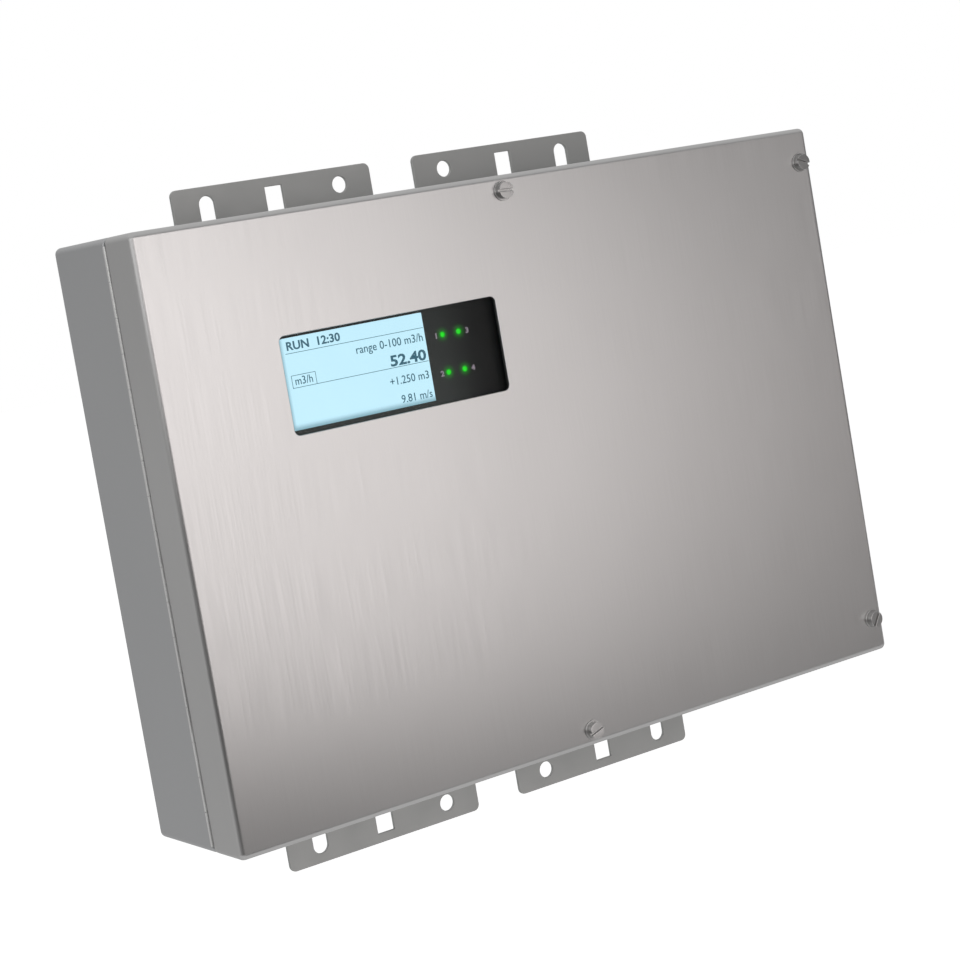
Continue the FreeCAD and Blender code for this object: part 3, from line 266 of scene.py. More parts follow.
class StageSettings(bpy.types.PropertyGroup):
    """The camera, the light and the floor."""

    camera_place: point_setting("Camera", "Where the camera stands", (-0.65196, -1.06127, 0.13586))
    camera_aim: point_setting("Camera aim", "A point on the line of sight", (0.02559, -0.01426, 0.05132))
    camera_roll: angle_setting("Camera roll", "Turn of the camera about its line of sight", -9.697)
    camera_lens: FloatProperty(
        name="Lens", description="Focal length on a 36 mm sensor", subtype="DISTANCE_CAMERA", unit="CAMERA",
        min=10, max=300, default=84.445)
    camera_shift: FloatProperty(
        name="Camera shift", description="Picture's middle over the line of sight, in picture widths",
        min=-0.3, max=0.3, default=-0.1)
    softbox_place: point_setting("Soft light", "Middle of the large soft light", (0.31, -1.55, 0.06))
    softbox_aim: point_setting("Soft light aim", "What the soft light faces", (0.1, -0.1, 0.05))
    softbox_size: size_setting("Soft light size", "Width and height of the soft light", (1.55, 0.84))
    softbox_power: power_setting("Soft light power", "Power of the soft light", 6.45)
    softbox_roll: angle_setting("Soft light roll", "Turn of the oval soft light about its line of sight", -31)
    softbox_colour: colour_setting("Soft light colour", "Tint of the soft light", (1.0, 0.948, 0.937))
    fill_place: point_setting("Fill light", "Middle of the weaker light at the left", (-1.6, -1.2, 0.42))
    fill_aim: point_setting("Fill light aim", "What the fill light faces", (-0.2, -0.1, 0.05))
    fill_size: size_setting("Fill light size", "Width and height of the fill light", (2.4, 1.0))
    fill_power: power_setting("Fill light power", "Power of the fill light", 5.9)
    ambient: share_setting("Room light", "Even light from all round on plain surfaces", 0.42)
    room_front: share_setting("Room in front", "How bright metal sees the room before the object", 0.24)
    room_back: share_setting("Room behind", "How bright metal sees the room behind the object", 0.552)
    room_high: share_setting("Room ceiling", "How bright metal sees the room overhead", 0.8)
    floor_drop: length_setting("Floor drop", "Floor below the lowest bracket edge", 0.3, 0, 1)
    floor_colour: colour_setting("Floor", "Pale floor", (0.8, 0.8, 0.8))
    floor_front: share_setting("Floor in front", "How bright metal sees the floor before the object", 0.07)
    floor_near: share_setting("Floor below", "How bright metal sees the floor below the object", 0.75)
    floor_back: share_setting("Floor behind", "How bright metal sees the floor behind the object", 0.6)


class GasMeterSettings(bpy.types.PropertyGroup):
    """All the settings of the gas meter."""

    steel: PointerProperty(name="Steel", description="Folded sheet and hardware", type=SteelSettings)
    window: PointerProperty(name="Window", description="Readout and lamps", type=WindowSettings)
    inside: PointerProperty(name="Inside", description="Boards, plates and keypad", type=InsideSettings)
    stage: PointerProperty(name="Stage", description="Camera, light and floor", type=StageSettings)


def settings():
    """The gas meter's settings in the open scene."""
    return bpy.context.scene.gas_meter


# Places in the window that both the finishes and the forms need

FIELD_REACH = 2.0 * MM            # how far the lit field passes the readout glass at the left
FIELD_FILM = 0.06 * MM            # thickness of the lit field
LAMP_RADIUS = 1.95 * MM


def readout_field():
    """Two corners of the lit field: a film before the readout glass, up to the window's left edge."""
    low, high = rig.box("lcd_glass")
    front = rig.box("display_mask")[0].y
    return Vector((low.x - FIELD_REACH, front - FIELD_FILM, low.z)), Vector((high.x, front, high.z))


def field_spot(across, down):
    """A place on the lit field, in shares of its width from the left and of its height from the top."""
    low, high = readout_field()
    return Vector((low.x + across * (high.x - low.x), low.y, high.z - down * (high.z - low.z)))


def lamp_centres():
    """The middles of the four status lamps on the front of the mask, row by row from the upper left."""
    low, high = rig.box("status_lamps")
    columns = (low.x + LAMP_RADIUS, high.x - LAMP_RADIUS)
    rows = (high.z - LAMP_RADIUS, low.z + LAMP_RADIUS)
    return [Vector((x, low.y, z)) for z in rows for x in columns]


# Finishes

WHITE = (1, 1, 1, 1)
PANE_ALPHA = 0.07                 # how much of the pane itself shows
PANE_IOR = 1.49
FADE_LEFT = 2.2 * MM              # how far the back light fades in from the left
FADE_BELOW = 3.4 * MM             # and from below
READOUT_GLOW = 1.14
INK_GLOW = 0.8
GUIDE_GLOW = 0.28
LENS_GLOW = 1.0
# painted light: the lamp numerals glow a little, in place of the light that falls on them
NUMERAL_PAINTED_GLOW = 0.1
PAINTED_SPILL_END = 8 * MM                 # the painted spill of the back light on the mask ends this far before its right edge
PAINTED_SPILL_TOP = 0.55                   # how much of that painted spill is left at the upper edge
PAINTED_HALO_REACH = (1.6 * MM, 5.2 * MM)       # where the painted glow on the mask round a lamp starts to fade, and where it ends
PAINTED_HALO_SHARE = 0.13                 # how strong that painted glow is beside the lamp
TRACK_TINT = 2.1                  # how much lighter the lacquer is over a copper track


class Graph:
    """A tree of shader nodes, with short ways to add nodes and to join them."""

    def __init__(self, owner):
        owner.use_nodes = True
        self.nodes = owner.node_tree.nodes
        self.links = owner.node_tree.links

    def put(self, socket, value):
        """Sets a socket to a plain value, or joins another node's output to it."""
        if isinstance(value, bpy.types.NodeSocket):
            self.links.new(value, socket)
        else:
            socket.default_value = value

    def fill(self, node, **sockets):
        """Fills a node's sockets by their names, with _ for a space."""
        for name, value in sockets.items():
            self.put(node.inputs[name.replace("_", " ")], value)

    def add(self, kind, *values, **sockets):
        """Adds a node and fills its sockets, the first ones in order and the others by name."""
        node = self.nodes.new("ShaderNode" + kind)
        for socket, value in zip(node.inputs, values):
            self.put(socket, value)
        self.fill(node, **sockets)
        return node

    def between(self, value, start, end, low, high, smooth=False):
        """Maps a value that runs from start to end to one that runs from low to high."""
        node = self.add("MapRange", Value=value, From_Min=start, From_Max=end, To_Min=low, To_Max=high)
        node.interpolation_type = "SMOOTHSTEP" if smooth else "LINEAR"
        return node.outputs["Result"]

    def sums(self, operation, first, second):
        """Two values put together by a Math node."""
        node = self.add("Math", first, second)
        node.operation = operation
        return node.outputs["Value"]

    def by_ray(self, seen, mirrored, lit):
        """A shader that shows one to the camera, one to mirroring metal and one to all other light."""
        rays = self.add("LightPath").outputs
        straight = self.sums("MAXIMUM", rays["Is Camera Ray"], rays["Is Transmission Ray"])
        unseen = self.add("MixShader", rays["Is Glossy Ray"], lit, mirrored)
        return self.add("MixShader", straight, unseen.outputs["Shader"], seen).outputs["Shader"]


class Finish(Graph):
    """A node material that is put together round its Principled shader."""

    def __init__(self, name, **sockets):
        self.material = bpy.data.materials.new("finish_" + name)
        super().__init__(self.material)
        self.shader = self.nodes["Principled BSDF"]
        self.place = self.add("TexCoord").outputs["Object"]
        self.fill(self.shader, **sockets)

    def stretched(self, width, length=None):
        """The place on the piece in units of a grain of that width and upright length."""
        scale = (1 / width, 1 / width, 1 / (length or width))
        return self.add("Mapping", Vector=self.place, Scale=scale).outputs["Vector"]

    def noise(self, place, scale=1.0, detail=3.0):
        """A smooth random value from 0 to 1 at each place."""
        return self.add("TexNoise", Vector=place, Scale=scale, Detail=detail).outputs["Fac"]

    def cells(self, size):
        """Scattered cells: the Color of each, and the Distance to its middle."""
        return self.add("TexVoronoi", Vector=self.stretched(size), Scale=1.0).outputs

    def axis(self, letter):
        """One coordinate of the place on the piece."""
        return self.add("SeparateXYZ", Vector=self.place).outputs[letter]

    def mixed(self, share, first, second, blend="MIX"):
        """Two colours put together by a Mix node."""
        node = self.add("Mix", share)
        node.data_type = "RGBA"
        node.blend_type = blend
        colours = [socket for socket in node.inputs if socket.type == "RGBA"]
        for socket, colour in zip(colours, (first, second)):
            self.put(socket, colour)
        return next(socket for socket in node.outputs if socket.type == "RGBA")

    def shades(self, value, dark, light):
        """A colour that goes from dark to light with a value."""
        return self.mixed(value, (*dark, 1), (*light, 1))

    def mottle(self, value, colour, dark, light):
        """Lets a value tint the shader's colour, by a factor that goes from dark to light."""
        self.fill(self.shader, Base_Color=self.shades(value, tinted(colour, dark), tinted(colour, light)))

    def roughen(self, value, low, high, start=0.3, end=0.7):
        """Lets a value that runs from start to end drive the roughness from low to high."""
        self.fill(self.shader, Roughness=self.between(value, start, end, low, high))

    def relief(self, height, strength, depth):
        """Fine relief from a height value."""
        bump = self.add("Bump", Strength=strength, Distance=depth, Height=height)
        self.fill(self.shader, Normal=bump.outputs["Normal"])


def tinted(colour, factor):
    """A colour made lighter or darker by a factor."""
    return [min(1.0, part * factor) for part in colour]


def brushed_steel(name, colour, roughness, stretch):
    """Stainless sheet with an upright brushing grain and a faint unevenness over the sheet."""
    steel = settings().steel
    finish = Finish(name, Metallic=1.0, Anisotropic=stretch)
    grain = finish.noise(finish.stretched(steel.grain_width, steel.grain_length), detail=4.0)
    cloud = finish.noise(finish.place, scale=9.0, detail=2.0)
    lines = finish.between(grain, 0.25, 0.75, 0, 0.6)
    patches = finish.between(cloud, 0.3, 0.7, 0, 0.4)
    finish.mottle(finish.sums("ADD", lines, patches), colour, dark=0.96, light=1.04)
    finish.roughen(grain, roughness - 0.04, roughness + 0.05, start=0.2, end=0.8)
    upright = finish.add("Tangent")
    upright.direction_type = "RADIAL"
    upright.axis = "Z"
    finish.fill(finish.shader, Tangent=upright.outputs["Tangent"])
    finish.relief(grain, strength=0.05, depth=0.05 * MM)
    return finish.material


def satin_metal(name, colour, roughness):
    """Bare or plated metal with a fine even tooth and slight handling marks."""
    finish = Finish(name, Metallic=1.0)
    tooth = finish.noise(finish.stretched(0.6 * MM), detail=4.0)
    marks = finish.noise(finish.place, scale=45.0)
    finish.mottle(marks, colour, dark=0.88, light=1.1)
    finish.roughen(marks, roughness - 0.06, roughness + 0.08)
    finish.relief(tooth, strength=0.06, depth=0.04 * MM)
    return finish.material


def zinc_coat(name, colour, roughness):
    """Zinc-plated sheet: pale flakes that differ a little in tone."""
    finish = Finish(name, Metallic=1.0)
    flake = finish.add("SeparateColor", Color=finish.cells(7 * MM)["Color"]).outputs
    finish.mottle(flake["Red"], colour, dark=0.9, light=1.08)
    finish.roughen(flake["Green"], roughness - 0.05, roughness + 0.08, start=0, end=1)
    return finish.material


def moulded_plastic(name, colour, roughness):
    """Moulded plastic with a fine spark-eroded grain."""
    finish = Finish(name, Specular_IOR_Level=0.45)
    grain = finish.noise(finish.stretched(0.5 * MM), detail=2.0)
    cloud = finish.noise(finish.place, scale=60.0)
    finish.mottle(cloud, colour, dark=0.85, light=1.15)
    finish.roughen(grain, roughness - 0.05, roughness + 0.06)
    finish.relief(grain, strength=0.12, depth=0.06 * MM)
    return finish.material


def foam_seal(name, colour):
    """Closed-cell foam rubber."""
    finish = Finish(name, Specular_IOR_Level=0.25)
    cell = finish.cells(0.6 * MM)["Distance"]
    finish.mottle(cell, colour, dark=0.6, light=1.4)
    finish.roughen(cell, 0.7, 0.9, start=0, end=1)
    finish.relief(cell, strength=0.35, depth=0.15 * MM)
    return finish.material


def textured_paint(name, colour):
    """Powder paint with its orange-peel skin."""
    finish = Finish(name, Specular_IOR_Level=0.4)
    peel = finish.noise(finish.stretched(1.1 * MM), detail=2.0)
    cloud = finish.noise(finish.place, scale=14.0)
    finish.mottle(cloud, colour, dark=0.95, light=1.04)
    finish.roughen(peel, 0.42, 0.55)
    finish.relief(peel, strength=0.2, depth=0.08 * MM)
    return finish.material


def board_lacquer(name, colour):
    """Green solder lacquer over glass weave."""
    finish = Finish(name, Specular_IOR_Level=0.5, Coat_Weight=0.25, Coat_Roughness=0.15)
    weave = finish.noise(finish.stretched(0.5 * MM, 2.5 * MM), detail=1.0)
    cloud = finish.noise(finish.place, scale=30.0)
    finish.mottle(cloud, colour, dark=0.8, light=1.25)
    finish.roughen(weave, 0.28, 0.4)
    finish.relief(weave, strength=0.08, depth=0.03 * MM)
    return finish.material


def clear_window(name):
    """Clear scratch-resistant window sheet with an anti-glare coat."""
    finish = Finish(name, Base_Color=(0.02, 0.025, 0.025, 1), Alpha=PANE_ALPHA, IOR=PANE_IOR)
    finish.roughen(finish.noise(finish.place, scale=40.0), 0.1, 0.16)
    return finish.material


def lit_readout(name):
    """The back-lit field: bright, and fading at its left and lower edges."""
    window = settings().window
    low = readout_field()[0]
    finish = Finish(name, Base_Color=(0.03, 0.045, 0.05, 1), Roughness=0.35, Specular_IOR_Level=0.1,
                    Emission_Strength=READOUT_GLOW)
    from_left = finish.between(finish.axis("X"), low.x, low.x + FADE_LEFT, 0.2, 1, smooth=True)
    from_below = finish.between(finish.axis("Z"), low.z, low.z + FADE_BELOW, 0, 1, smooth=True)
    uneven = finish.between(finish.noise(finish.place, scale=25.0), 0.3, 0.7, 0.93, 1)
    light = finish.sums("MULTIPLY", finish.sums("MULTIPLY", from_left, from_below), uneven)
    shine = finish.shades(light, window.edge_colour, window.light_colour)
    finish.fill(finish.shader, Emission_Color=shine)
    return finish.material


def readout_ink(name):
    """Darkened segments of the readout."""
    colour = settings().window.ink_colour
    finish = Finish(name, Roughness=0.4, Emission_Color=(*colour, 1), Emission_Strength=INK_GLOW)
    finish.mottle(finish.noise(finish.place, scale=300.0), colour, dark=0.2, light=0.3)
    return finish.material


def dark_surround(name):
    """Dark mask with painted light: the readout's back light is painted as a spill beside the readout that fades to
    black towards the right end, and a green glow is painted round the lit lamps.
    """
    window = settings().window
    black = (0, 0, 0)
    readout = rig.box("lcd_glass")
    low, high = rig.box("display_mask")
    finish = Finish(name, Base_Color=(*window.surround_colour, 1), Roughness=0.5, Specular_IOR_Level=0.06,
                    Emission_Strength=1.0)
    # painted light: the back light's spill is painted into the mask's emission, strongest next to the readout and
    # lower down
    across = finish.between(finish.axis("X"), readout[1].x, high.x - PAINTED_SPILL_END, 1, 0, smooth=True)
    upward = finish.between(finish.axis("Z"), low.z, high.z, 1, PAINTED_SPILL_TOP)
    painted_spill = finish.shades(finish.sums("MULTIPLY", across, upward), black, window.spill_colour)
    painted_glow = 0.0
    # painted light: a green glow is painted on the mask round each lamp
    for centre in lamp_centres():
        distance = finish.add("VectorMath", finish.place, centre)
        distance.operation = "DISTANCE"
        near = finish.between(distance.outputs["Value"], *PAINTED_HALO_REACH, 1, 0, smooth=True)
        painted_glow = finish.sums("ADD", finish.sums("MULTIPLY", near, near), painted_glow)
    painted_halo = finish.shades(painted_glow, black, tinted(window.lamp_colour, PAINTED_HALO_SHARE))
    finish.fill(finish.shader, Emission_Color=finish.mixed(1.0, painted_spill, painted_halo, blend="ADD"))
    return finish.material


def lamp_light(name, strength):
    """A lit green light guide."""
    colour = settings().window.lamp_colour
    finish = Finish(name, Base_Color=(0.005, 0.1, 0.005, 1), Roughness=0.25, Specular_IOR_Level=0.05,
                    Emission_Strength=strength)
    sparkle = finish.noise(finish.place, scale=700.0)
    finish.fill(finish.shader, Emission_Color=finish.shades(sparkle, tinted(colour, 0.85), colour))
    return finish.material


def film(name, colour):
    """Matt printed keypad film."""
    finish = Finish(name, Specular_IOR_Level=0.4)
    tooth = finish.noise(finish.stretched(0.25 * MM), detail=2.0)
    finish.mottle(tooth, colour, dark=0.9, light=1.1)
    finish.roughen(tooth, 0.45, 0.6)
    finish.relief(tooth, strength=0.1, depth=0.02 * MM)
    return finish.material


def print_ink(name, colour, painted_glow=0.0):
    """Printed marks. A glow above nought is painted light: an even emission that stands in for the light falling on
    them.
    """
    finish = Finish(name, Specular_IOR_Level=0.3, Emission_Color=(*colour, 1), Emission_Strength=painted_glow)
    worn = finish.noise(finish.place, scale=500.0)
    finish.mottle(worn, colour, dark=0.85, light=1.0)
    finish.roughen(worn, 0.5, 0.7, start=0, end=1)
    return finish.material


def finish_makers():
    """The maker of each finish, followed by what it is given after the finish's name."""
    steel, inside = settings().steel, settings().inside
    return {
        "housing_steel": (
            brushed_steel, steel.housing_colour, steel.housing_roughness, steel.housing_stretch),
        "cover_steel": (brushed_steel, steel.cover_colour, steel.cover_roughness, steel.cover_stretch),
        "bracket_steel": (satin_metal, steel.bracket_colour, steel.bracket_roughness),
        "fastener_steel": (satin_metal, (0.5, 0.5, 0.49), 0.34),
        "screw_steel": (satin_metal, (0.5, 0.495, 0.49), 0.28),
        "hinge_steel": (satin_metal, (0.68, 0.68, 0.67), 0.34),
        "seal_rubber": (foam_seal, (0.018, 0.018, 0.018)),
        "entry_plastic": (moulded_plastic, (0.03, 0.03, 0.033), 0.48),
        "entry_brass": (satin_metal, (0.56, 0.52, 0.43), 0.3),
        "spacer_brass": (satin_metal, (0.62, 0.46, 0.2), 0.3),
        "zinc_plate": (zinc_coat, (0.52, 0.53, 0.54), 0.4),
        "plate_paint": (textured_paint, inside.plate_colour),
        "keypad_film": (film, inside.keypad_colour),
        "circuit_board": (board_lacquer, inside.board_colour),
        "terminal_green": (moulded_plastic, inside.terminal_colour, 0.42),
        "black_plastic": (moulded_plastic, (0.016, 0.016, 0.017), 0.45),
        "bare_cell": (satin_metal, (0.6, 0.6, 0.58), 0.28),
        "capacitor_sleeve": (moulded_plastic, (0.02, 0.03, 0.09), 0.25),
        "module_aluminium": (satin_metal, (0.6, 0.61, 0.62), 0.42),
        "readout_glass": (lit_readout,),
        "display_black": (dark_surround,),
        "lamp_green": (lamp_light, GUIDE_GLOW),
        "window_clear": (clear_window,),
        "lamp_core": (lamp_light, LENS_GLOW),
        "readout_ink": (readout_ink,),
        # painted light: the numerals' ink also glows a little
        "label_ink": (print_ink, (0.42, 0.36, 0.44), NUMERAL_PAINTED_GLOW),
        "key_ink": (print_ink, (0.75, 0.78, 0.8)),
        "legend_ink": (print_ink, (0.72, 0.74, 0.7)),
        "copper_track": (board_lacquer, tinted(inside.board_colour, TRACK_TINT)),
        "solder": (satin_metal, (0.6, 0.6, 0.6), 0.25),
        "resistor_body": (moulded_plastic, (0.012, 0.012, 0.014), 0.4),
        "ceramic": (moulded_plastic, (0.36, 0.24, 0.13), 0.5),
        "can_top": (satin_metal, (0.66, 0.66, 0.66), 0.3),
    }


def finish_named(name):
    """The finish of that name, made the first time that it is asked for."""
    material = bpy.data.materials.get("finish_" + name)
    if material is None:
        maker, *values = finish_makers()[name]
        material = maker(name, *values)
    return material


# Forms

CAPITAL_SHARE = 0.7               # height of a capital in the built-in type, as a share of its size
MARK_HEIGHT = 0.05 * MM           # how far lettering and rules stand out


def show(name, mesh, finish, body, slot=None, stands_for=()):
    """Puts a mesh into the scene as a piece that moves with a CAD body."""
    mesh.materials.clear()
    mesh.materials.append(finish_named(finish))
    piece = bpy.data.objects.new(name, mesh)
    bpy.context.scene.collection.objects.link(piece)
    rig.ride(piece, body)
    if slot:
        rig.slot(piece, slot)
    if stands_for:
        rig.replaces(piece, *stands_for)
    return piece


def break_edges(piece, radius, segments=2):
    """Rounds a piece's sharp edges and keeps its flats flat."""
    bevel = piece.modifiers.new("Broken edges", "BEVEL")
    bevel.width = radius
    bevel.segments = segments
    bevel.limit_method = "ANGLE"
    bevel.angle_limit = CREASE
    bevel.use_clamp_overlap = False
    flats = piece.modifiers.new("Flat faces", "WEIGHTED_NORMAL")
    flats.weight = 100
    flats.keep_sharp = True


def plain_mesh(name, form):
    """A smooth-shaded mesh with only the points and faces of a bmesh, which is freed."""
    form.verts.index_update()
    mesh = bpy.data.meshes.new(name)
    points = [vertex.co[:] for vertex in form.verts]
    mesh.from_pydata(points, [], [[vertex.index for vertex in face.verts] for face in form.faces])
    form.free()
    mesh.shade_smooth()
    return mesh


def dress(node, radius, segments=2):
    """Stands a copy of a CAD node in its place, finished and with its sharp edges broken."""
    original = frame["nodes"][node]
    form = bmesh.new()
    form.from_mesh(original.data)
    bmesh.ops.remove_doubles(form, verts=form.verts, dist=WELD)
    bmesh.ops.dissolve_limit(form, angle_limit=FLAT, verts=form.verts, edges=form.edges)
    slot = SLOT_OF[node]
    mesh = plain_mesh("finished_" + node, form)
    piece = show("finished_" + node, mesh, slot, original["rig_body"], slot, [node])
    break_edges(piece, radius, segments)


def made(name, form, finish, body, slot=None, stands_for=(), edge=None):
    """Shows a form that was built here, with its faces turned outward."""
    bmesh.ops.recalc_face_normals(form, faces=form.faces)
    mesh = plain_mesh(name, form)
    piece = show(name, mesh, finish, body, slot, stands_for)
    if edge:
        break_edges(piece, edge)
    else:
        mesh.set_sharp_from_angle(angle=CREASE)


def block(form, corner, opposite):
    """Adds a block between two opposite corners."""
    corner, opposite = Vector(corner), Vector(opposite)
    sizes = Vector([abs(length) for length in opposite - corner])
    bmesh.ops.create_cube(form, size=1, matrix=Matrix.LocRotScale((corner + opposite) / 2, None, sizes))


def round_point(radius, angle):
    """A point on a circle that faces the front."""
    return Vector((radius * math.cos(angle), 0, radius * math.sin(angle)))


def turned(form, centre, profile, steps=32):
    """Adds a form turned about a line towards the front. The profile is (radius, height over the centre)."""
    rings = []
    for radius, height in profile:
        foot = Vector(centre) + FRONT * height
        angles = [2 * math.pi * step / steps for step in range(steps if radius > 0 else 1)]
        rings.append([form.verts.new(foot + round_point(radius, angle)) for angle in angles])
    for inner, outer in zip(rings, rings[1:]):
        for step in range(steps):
            after = (step + 1) % steps
            corners = [inner[step % len(inner)], inner[after % len(inner)],
                       outer[after % len(outer)], outer[step % len(outer)]]
            form.faces.new(list(dict.fromkeys(corners)))


def disc(form, centre, radius, low, high, steps):
    """Adds a flat round disc between two heights over its centre."""
    turned(form, centre, [(0, low), (radius, low), (radius, high), (0, high)], steps)


def raised(form, outline, height):
    """Adds a flat piece on a front face: an outline and the same outline towards the front."""
    lower = [form.verts.new(point) for point in outline]
    upper = [form.verts.new(point + FRONT * height) for point in outline]
    form.faces.new(lower)
    form.faces.new(upper)
    for step in range(len(outline)):
        after = (step + 1) % len(outline)
        form.faces.new([lower[step], lower[after], upper[after], upper[step]])


def half_moons(form, centre, radius, slot, height, turn, steps=14):
    """Adds the two raised halves of a slotted screw head."""
    opening = math.asin(slot / 2 / radius)
    for side in (0, math.pi):
        angles = [opening + (math.pi - 2 * opening) * step / steps + side + turn for step in range(steps + 1)]
        raised(form, [Vector(centre) + round_point(radius, angle) for angle in angles], height)


def bar(form, start, end, width, height=MARK_HEIGHT):
    """Adds a flat bar that lies on a front face between two points."""
    start, end = Vector(start), Vector(end)
    across = FRONT.cross((end - start).normalized()) * width / 2
    raised(form, [start - across, start + across, end + across, end - across], height)


def write_on(form, words, place, height, align="LEFT", bold=0.0, stretch=0.9):
    """Adds lettering that lies on a front face, with its baseline at a place and capitals of that height."""
    curve = bpy.data.curves.new("lettering", "FONT")
    curve.body = words
    curve.align_x = align
    curve.size = height / CAPITAL_SHARE
    curve.offset = bold
    curve.extrude = MARK_HEIGHT / 2
    curve.resolution_u = 3
    holder = bpy.data.objects.new("lettering", curve)
    bpy.context.scene.collection.objects.link(holder)
    bpy.context.view_layer.update()
    mesh = bpy.data.meshes.new_from_object(holder.evaluated_get(bpy.context.evaluated_depsgraph_get()))
    upright = Matrix.Translation(Vector(place) + FRONT * MARK_HEIGHT / 2)
    upright @= Matrix.Rotation(math.radians(90), 4, "X") @ Matrix.Diagonal((stretch, 1, 1, 1))
    mesh.transform(upright)
    form.from_mesh(mesh)
    bmesh.ops.remove_doubles(form, verts=form.verts, dist=WELD)
    bpy.data.meshes.remove(mesh)
    bpy.data.objects.remove(holder)
    bpy.data.curves.remove(curve)


# Operators, each after the sizes that it needs


class GASMETER_OT_sheet_shells(bpy.types.Operator):
    """Finish the folded rear housing and the folded front cover"""

    bl_idname = "gas_meter.sheet_shells"
    bl_label = "Sheet shells"

    def execute(self, context):
        for node in ("rear_housing", "front_cover"):
            dress(node, settings().steel.sheet_edge)
        return {"FINISHED"}


class GASMETER_OT_brackets(bpy.types.Operator):
    """Finish the four joggled wall brackets"""

    bl_idname = "gas_meter.brackets"
    bl_label = "Wall brackets"

    def execute(self, context):
        for corner in ("top_left", "top_right", "bottom_left", "bottom_right"):
            dress("mounting_bracket_" + corner, settings().steel.sheet_edge)
        return {"FINISHED"}


class GASMETER_OT_cover_screws(bpy.types.Operator):
    """Finish the captive slotted cover screws with their washers, sleeves and rings"""

    bl_idname = "gas_meter.cover_screws"
    bl_label = "Cover screws"

    def execute(self, context):
        for node in ("cover_screws", "cover_screw_washers", "cover_screw_sleeves", "cover_screw_rings"):
            dress(node, settings().steel.hardware_edge)
        return {"FINISHED"}


class GASMETER_OT_bolts_and_nuts(bpy.types.Operator):
    """Finish the bolts, studs, nuts, spacers and small screws"""

    bl_idname = "gas_meter.bolts_and_nuts"
    bl_label = "Bolts and nuts"

    def execute(self, context):
        for node in ("bracket_bolts", "bracket_nuts", "cover_weld_nuts", "chassis_studs", "chassis_nuts",
                     "board_screws", "operating_screws", "display_screws", "window_studs", "window_nuts",
                     "board_spacers", "display_spacers"):
            dress(node, settings().steel.hardware_edge)
        return {"FINISHED"}


HINGE_EDGE = 0.1 * MM


class GASMETER_OT_hinge(bpy.types.Operator):
    """Finish the continuous hinge: both leaves and the pin"""

    bl_idname = "gas_meter.hinge"
    bl_label = "Hinge"

    def execute(self, context):
        for node in ("hinge_housing_leaf", "hinge_cover_leaf", "hinge_pin"):
            dress(node, HINGE_EDGE)
        return {"FINISHED"}


SEAL_EDGE = 0.25 * MM


class GASMETER_OT_seals(bpy.types.Operator):
    """Finish the foam seals of the cover, the window and the cable entries"""

    bl_idname = "gas_meter.seals"
    bl_label = "Seals"

    def execute(self, context):
        for node in ("cover_gasket", "window_gasket", "entry_seals"):
            dress(node, SEAL_EDGE, segments=3)
        return {"FINISHED"}


PANE_EDGE = 0.2 * MM


class GASMETER_OT_window(bpy.types.Operator):
    """Finish the window pane and the frame that clamps it"""

    bl_idname = "gas_meter.window"
    bl_label = "Window"

    def execute(self, context):
        dress("window_pane", PANE_EDGE)
        dress("window_frame", settings().steel.hardware_edge)
        return {"FINISHED"}


READOUT_EDGE = 0.15 * MM
RULE_WIDTH = 0.28 * MM
READOUT_LINES = (                 # setting, aligned side, across, down, height and boldness in mm, stretch
    ("title", "LEFT", 0.04, 0.132, 4.0, 0.16, 1.1),
    ("span", "RIGHT", 0.985, 0.313, 4.1, 0.03, 0.95),
    ("value", "RIGHT", 0.985, 0.525, 5.2, 0.22, 1.3),
    ("unit", "LEFT", 0.06, 0.515, 3.9, 0.03, 0.9),
    ("total", "RIGHT", 0.985, 0.736, 4.0, 0.03, 0.95),
    ("speed", "RIGHT", 0.985, 0.95, 4.0, 0.03, 0.95),
)
READOUT_RULES = (                 # from and to, across and down: the box round the unit, then two long rules
    ((0.042, 0.41), (0.205, 0.41)),
    ((0.205, 0.41), (0.205, 0.545)),
    ((0.205, 0.545), (0.042, 0.545)),
    ((0.042, 0.545), (0.042, 0.41)),
    ((0.03, 0.168), (0.995, 0.168)),
    ((0.205, 0.545), (0.995, 0.545)),
)


class GASMETER_OT_readout(bpy.types.Operator):
    """Make the lit readout: its field, its tray, the dark surround and the marks on the field"""

    bl_idname = "gas_meter.readout"
    bl_label = "Readout"

    def execute(self, context):
        for node in ("lcd_glass", "lcd_tray", "display_mask"):
            dress(node, READOUT_EDGE)
        form = bmesh.new()
        block(form, *readout_field())
        made("readout_field", form, "readout_glass", "housing", "readout_glass")
        form = bmesh.new()
        for name, align, across, down, height, bold, stretch in READOUT_LINES:
            words = getattr(settings().window, name)
            write_on(form, words, field_spot(across, down), height * MM, align, bold * MM, stretch)
        for start, end in READOUT_RULES:
            bar(form, field_spot(*start), field_spot(*end), RULE_WIDTH)
        made("readout_marks", form, "readout_ink", "housing")
        return {"FINISHED"}


LAMP_NUMERALS = ("1", "3", "2", "4")
GUIDE_RIM = 0.25 * MM             # width of the broken edge round a light guide
GUIDE_DROPS = (0.2 * MM, 0.02 * MM)  # depth of that edge below the top, outside and inside
LENS_PROFILE = [(radius * MM, height * MM) for radius, height in
                ((0, -0.1), (1.35, -0.1), (1.2, 0.16), (0.75, 0.28), (0, 0.32))]
NUMERAL_LEFT = -4.9 * MM          # from the middle of a lamp to its numeral in the left column
NUMERAL_RIGHT = 4.1 * MM          # and in the right one
NUMERAL_DROP = 1.5 * MM
NUMERAL_HEIGHT = 2.7 * MM
NUMERAL_BOLD = 0.12 * MM
NUMERAL_STRETCH = 1.1


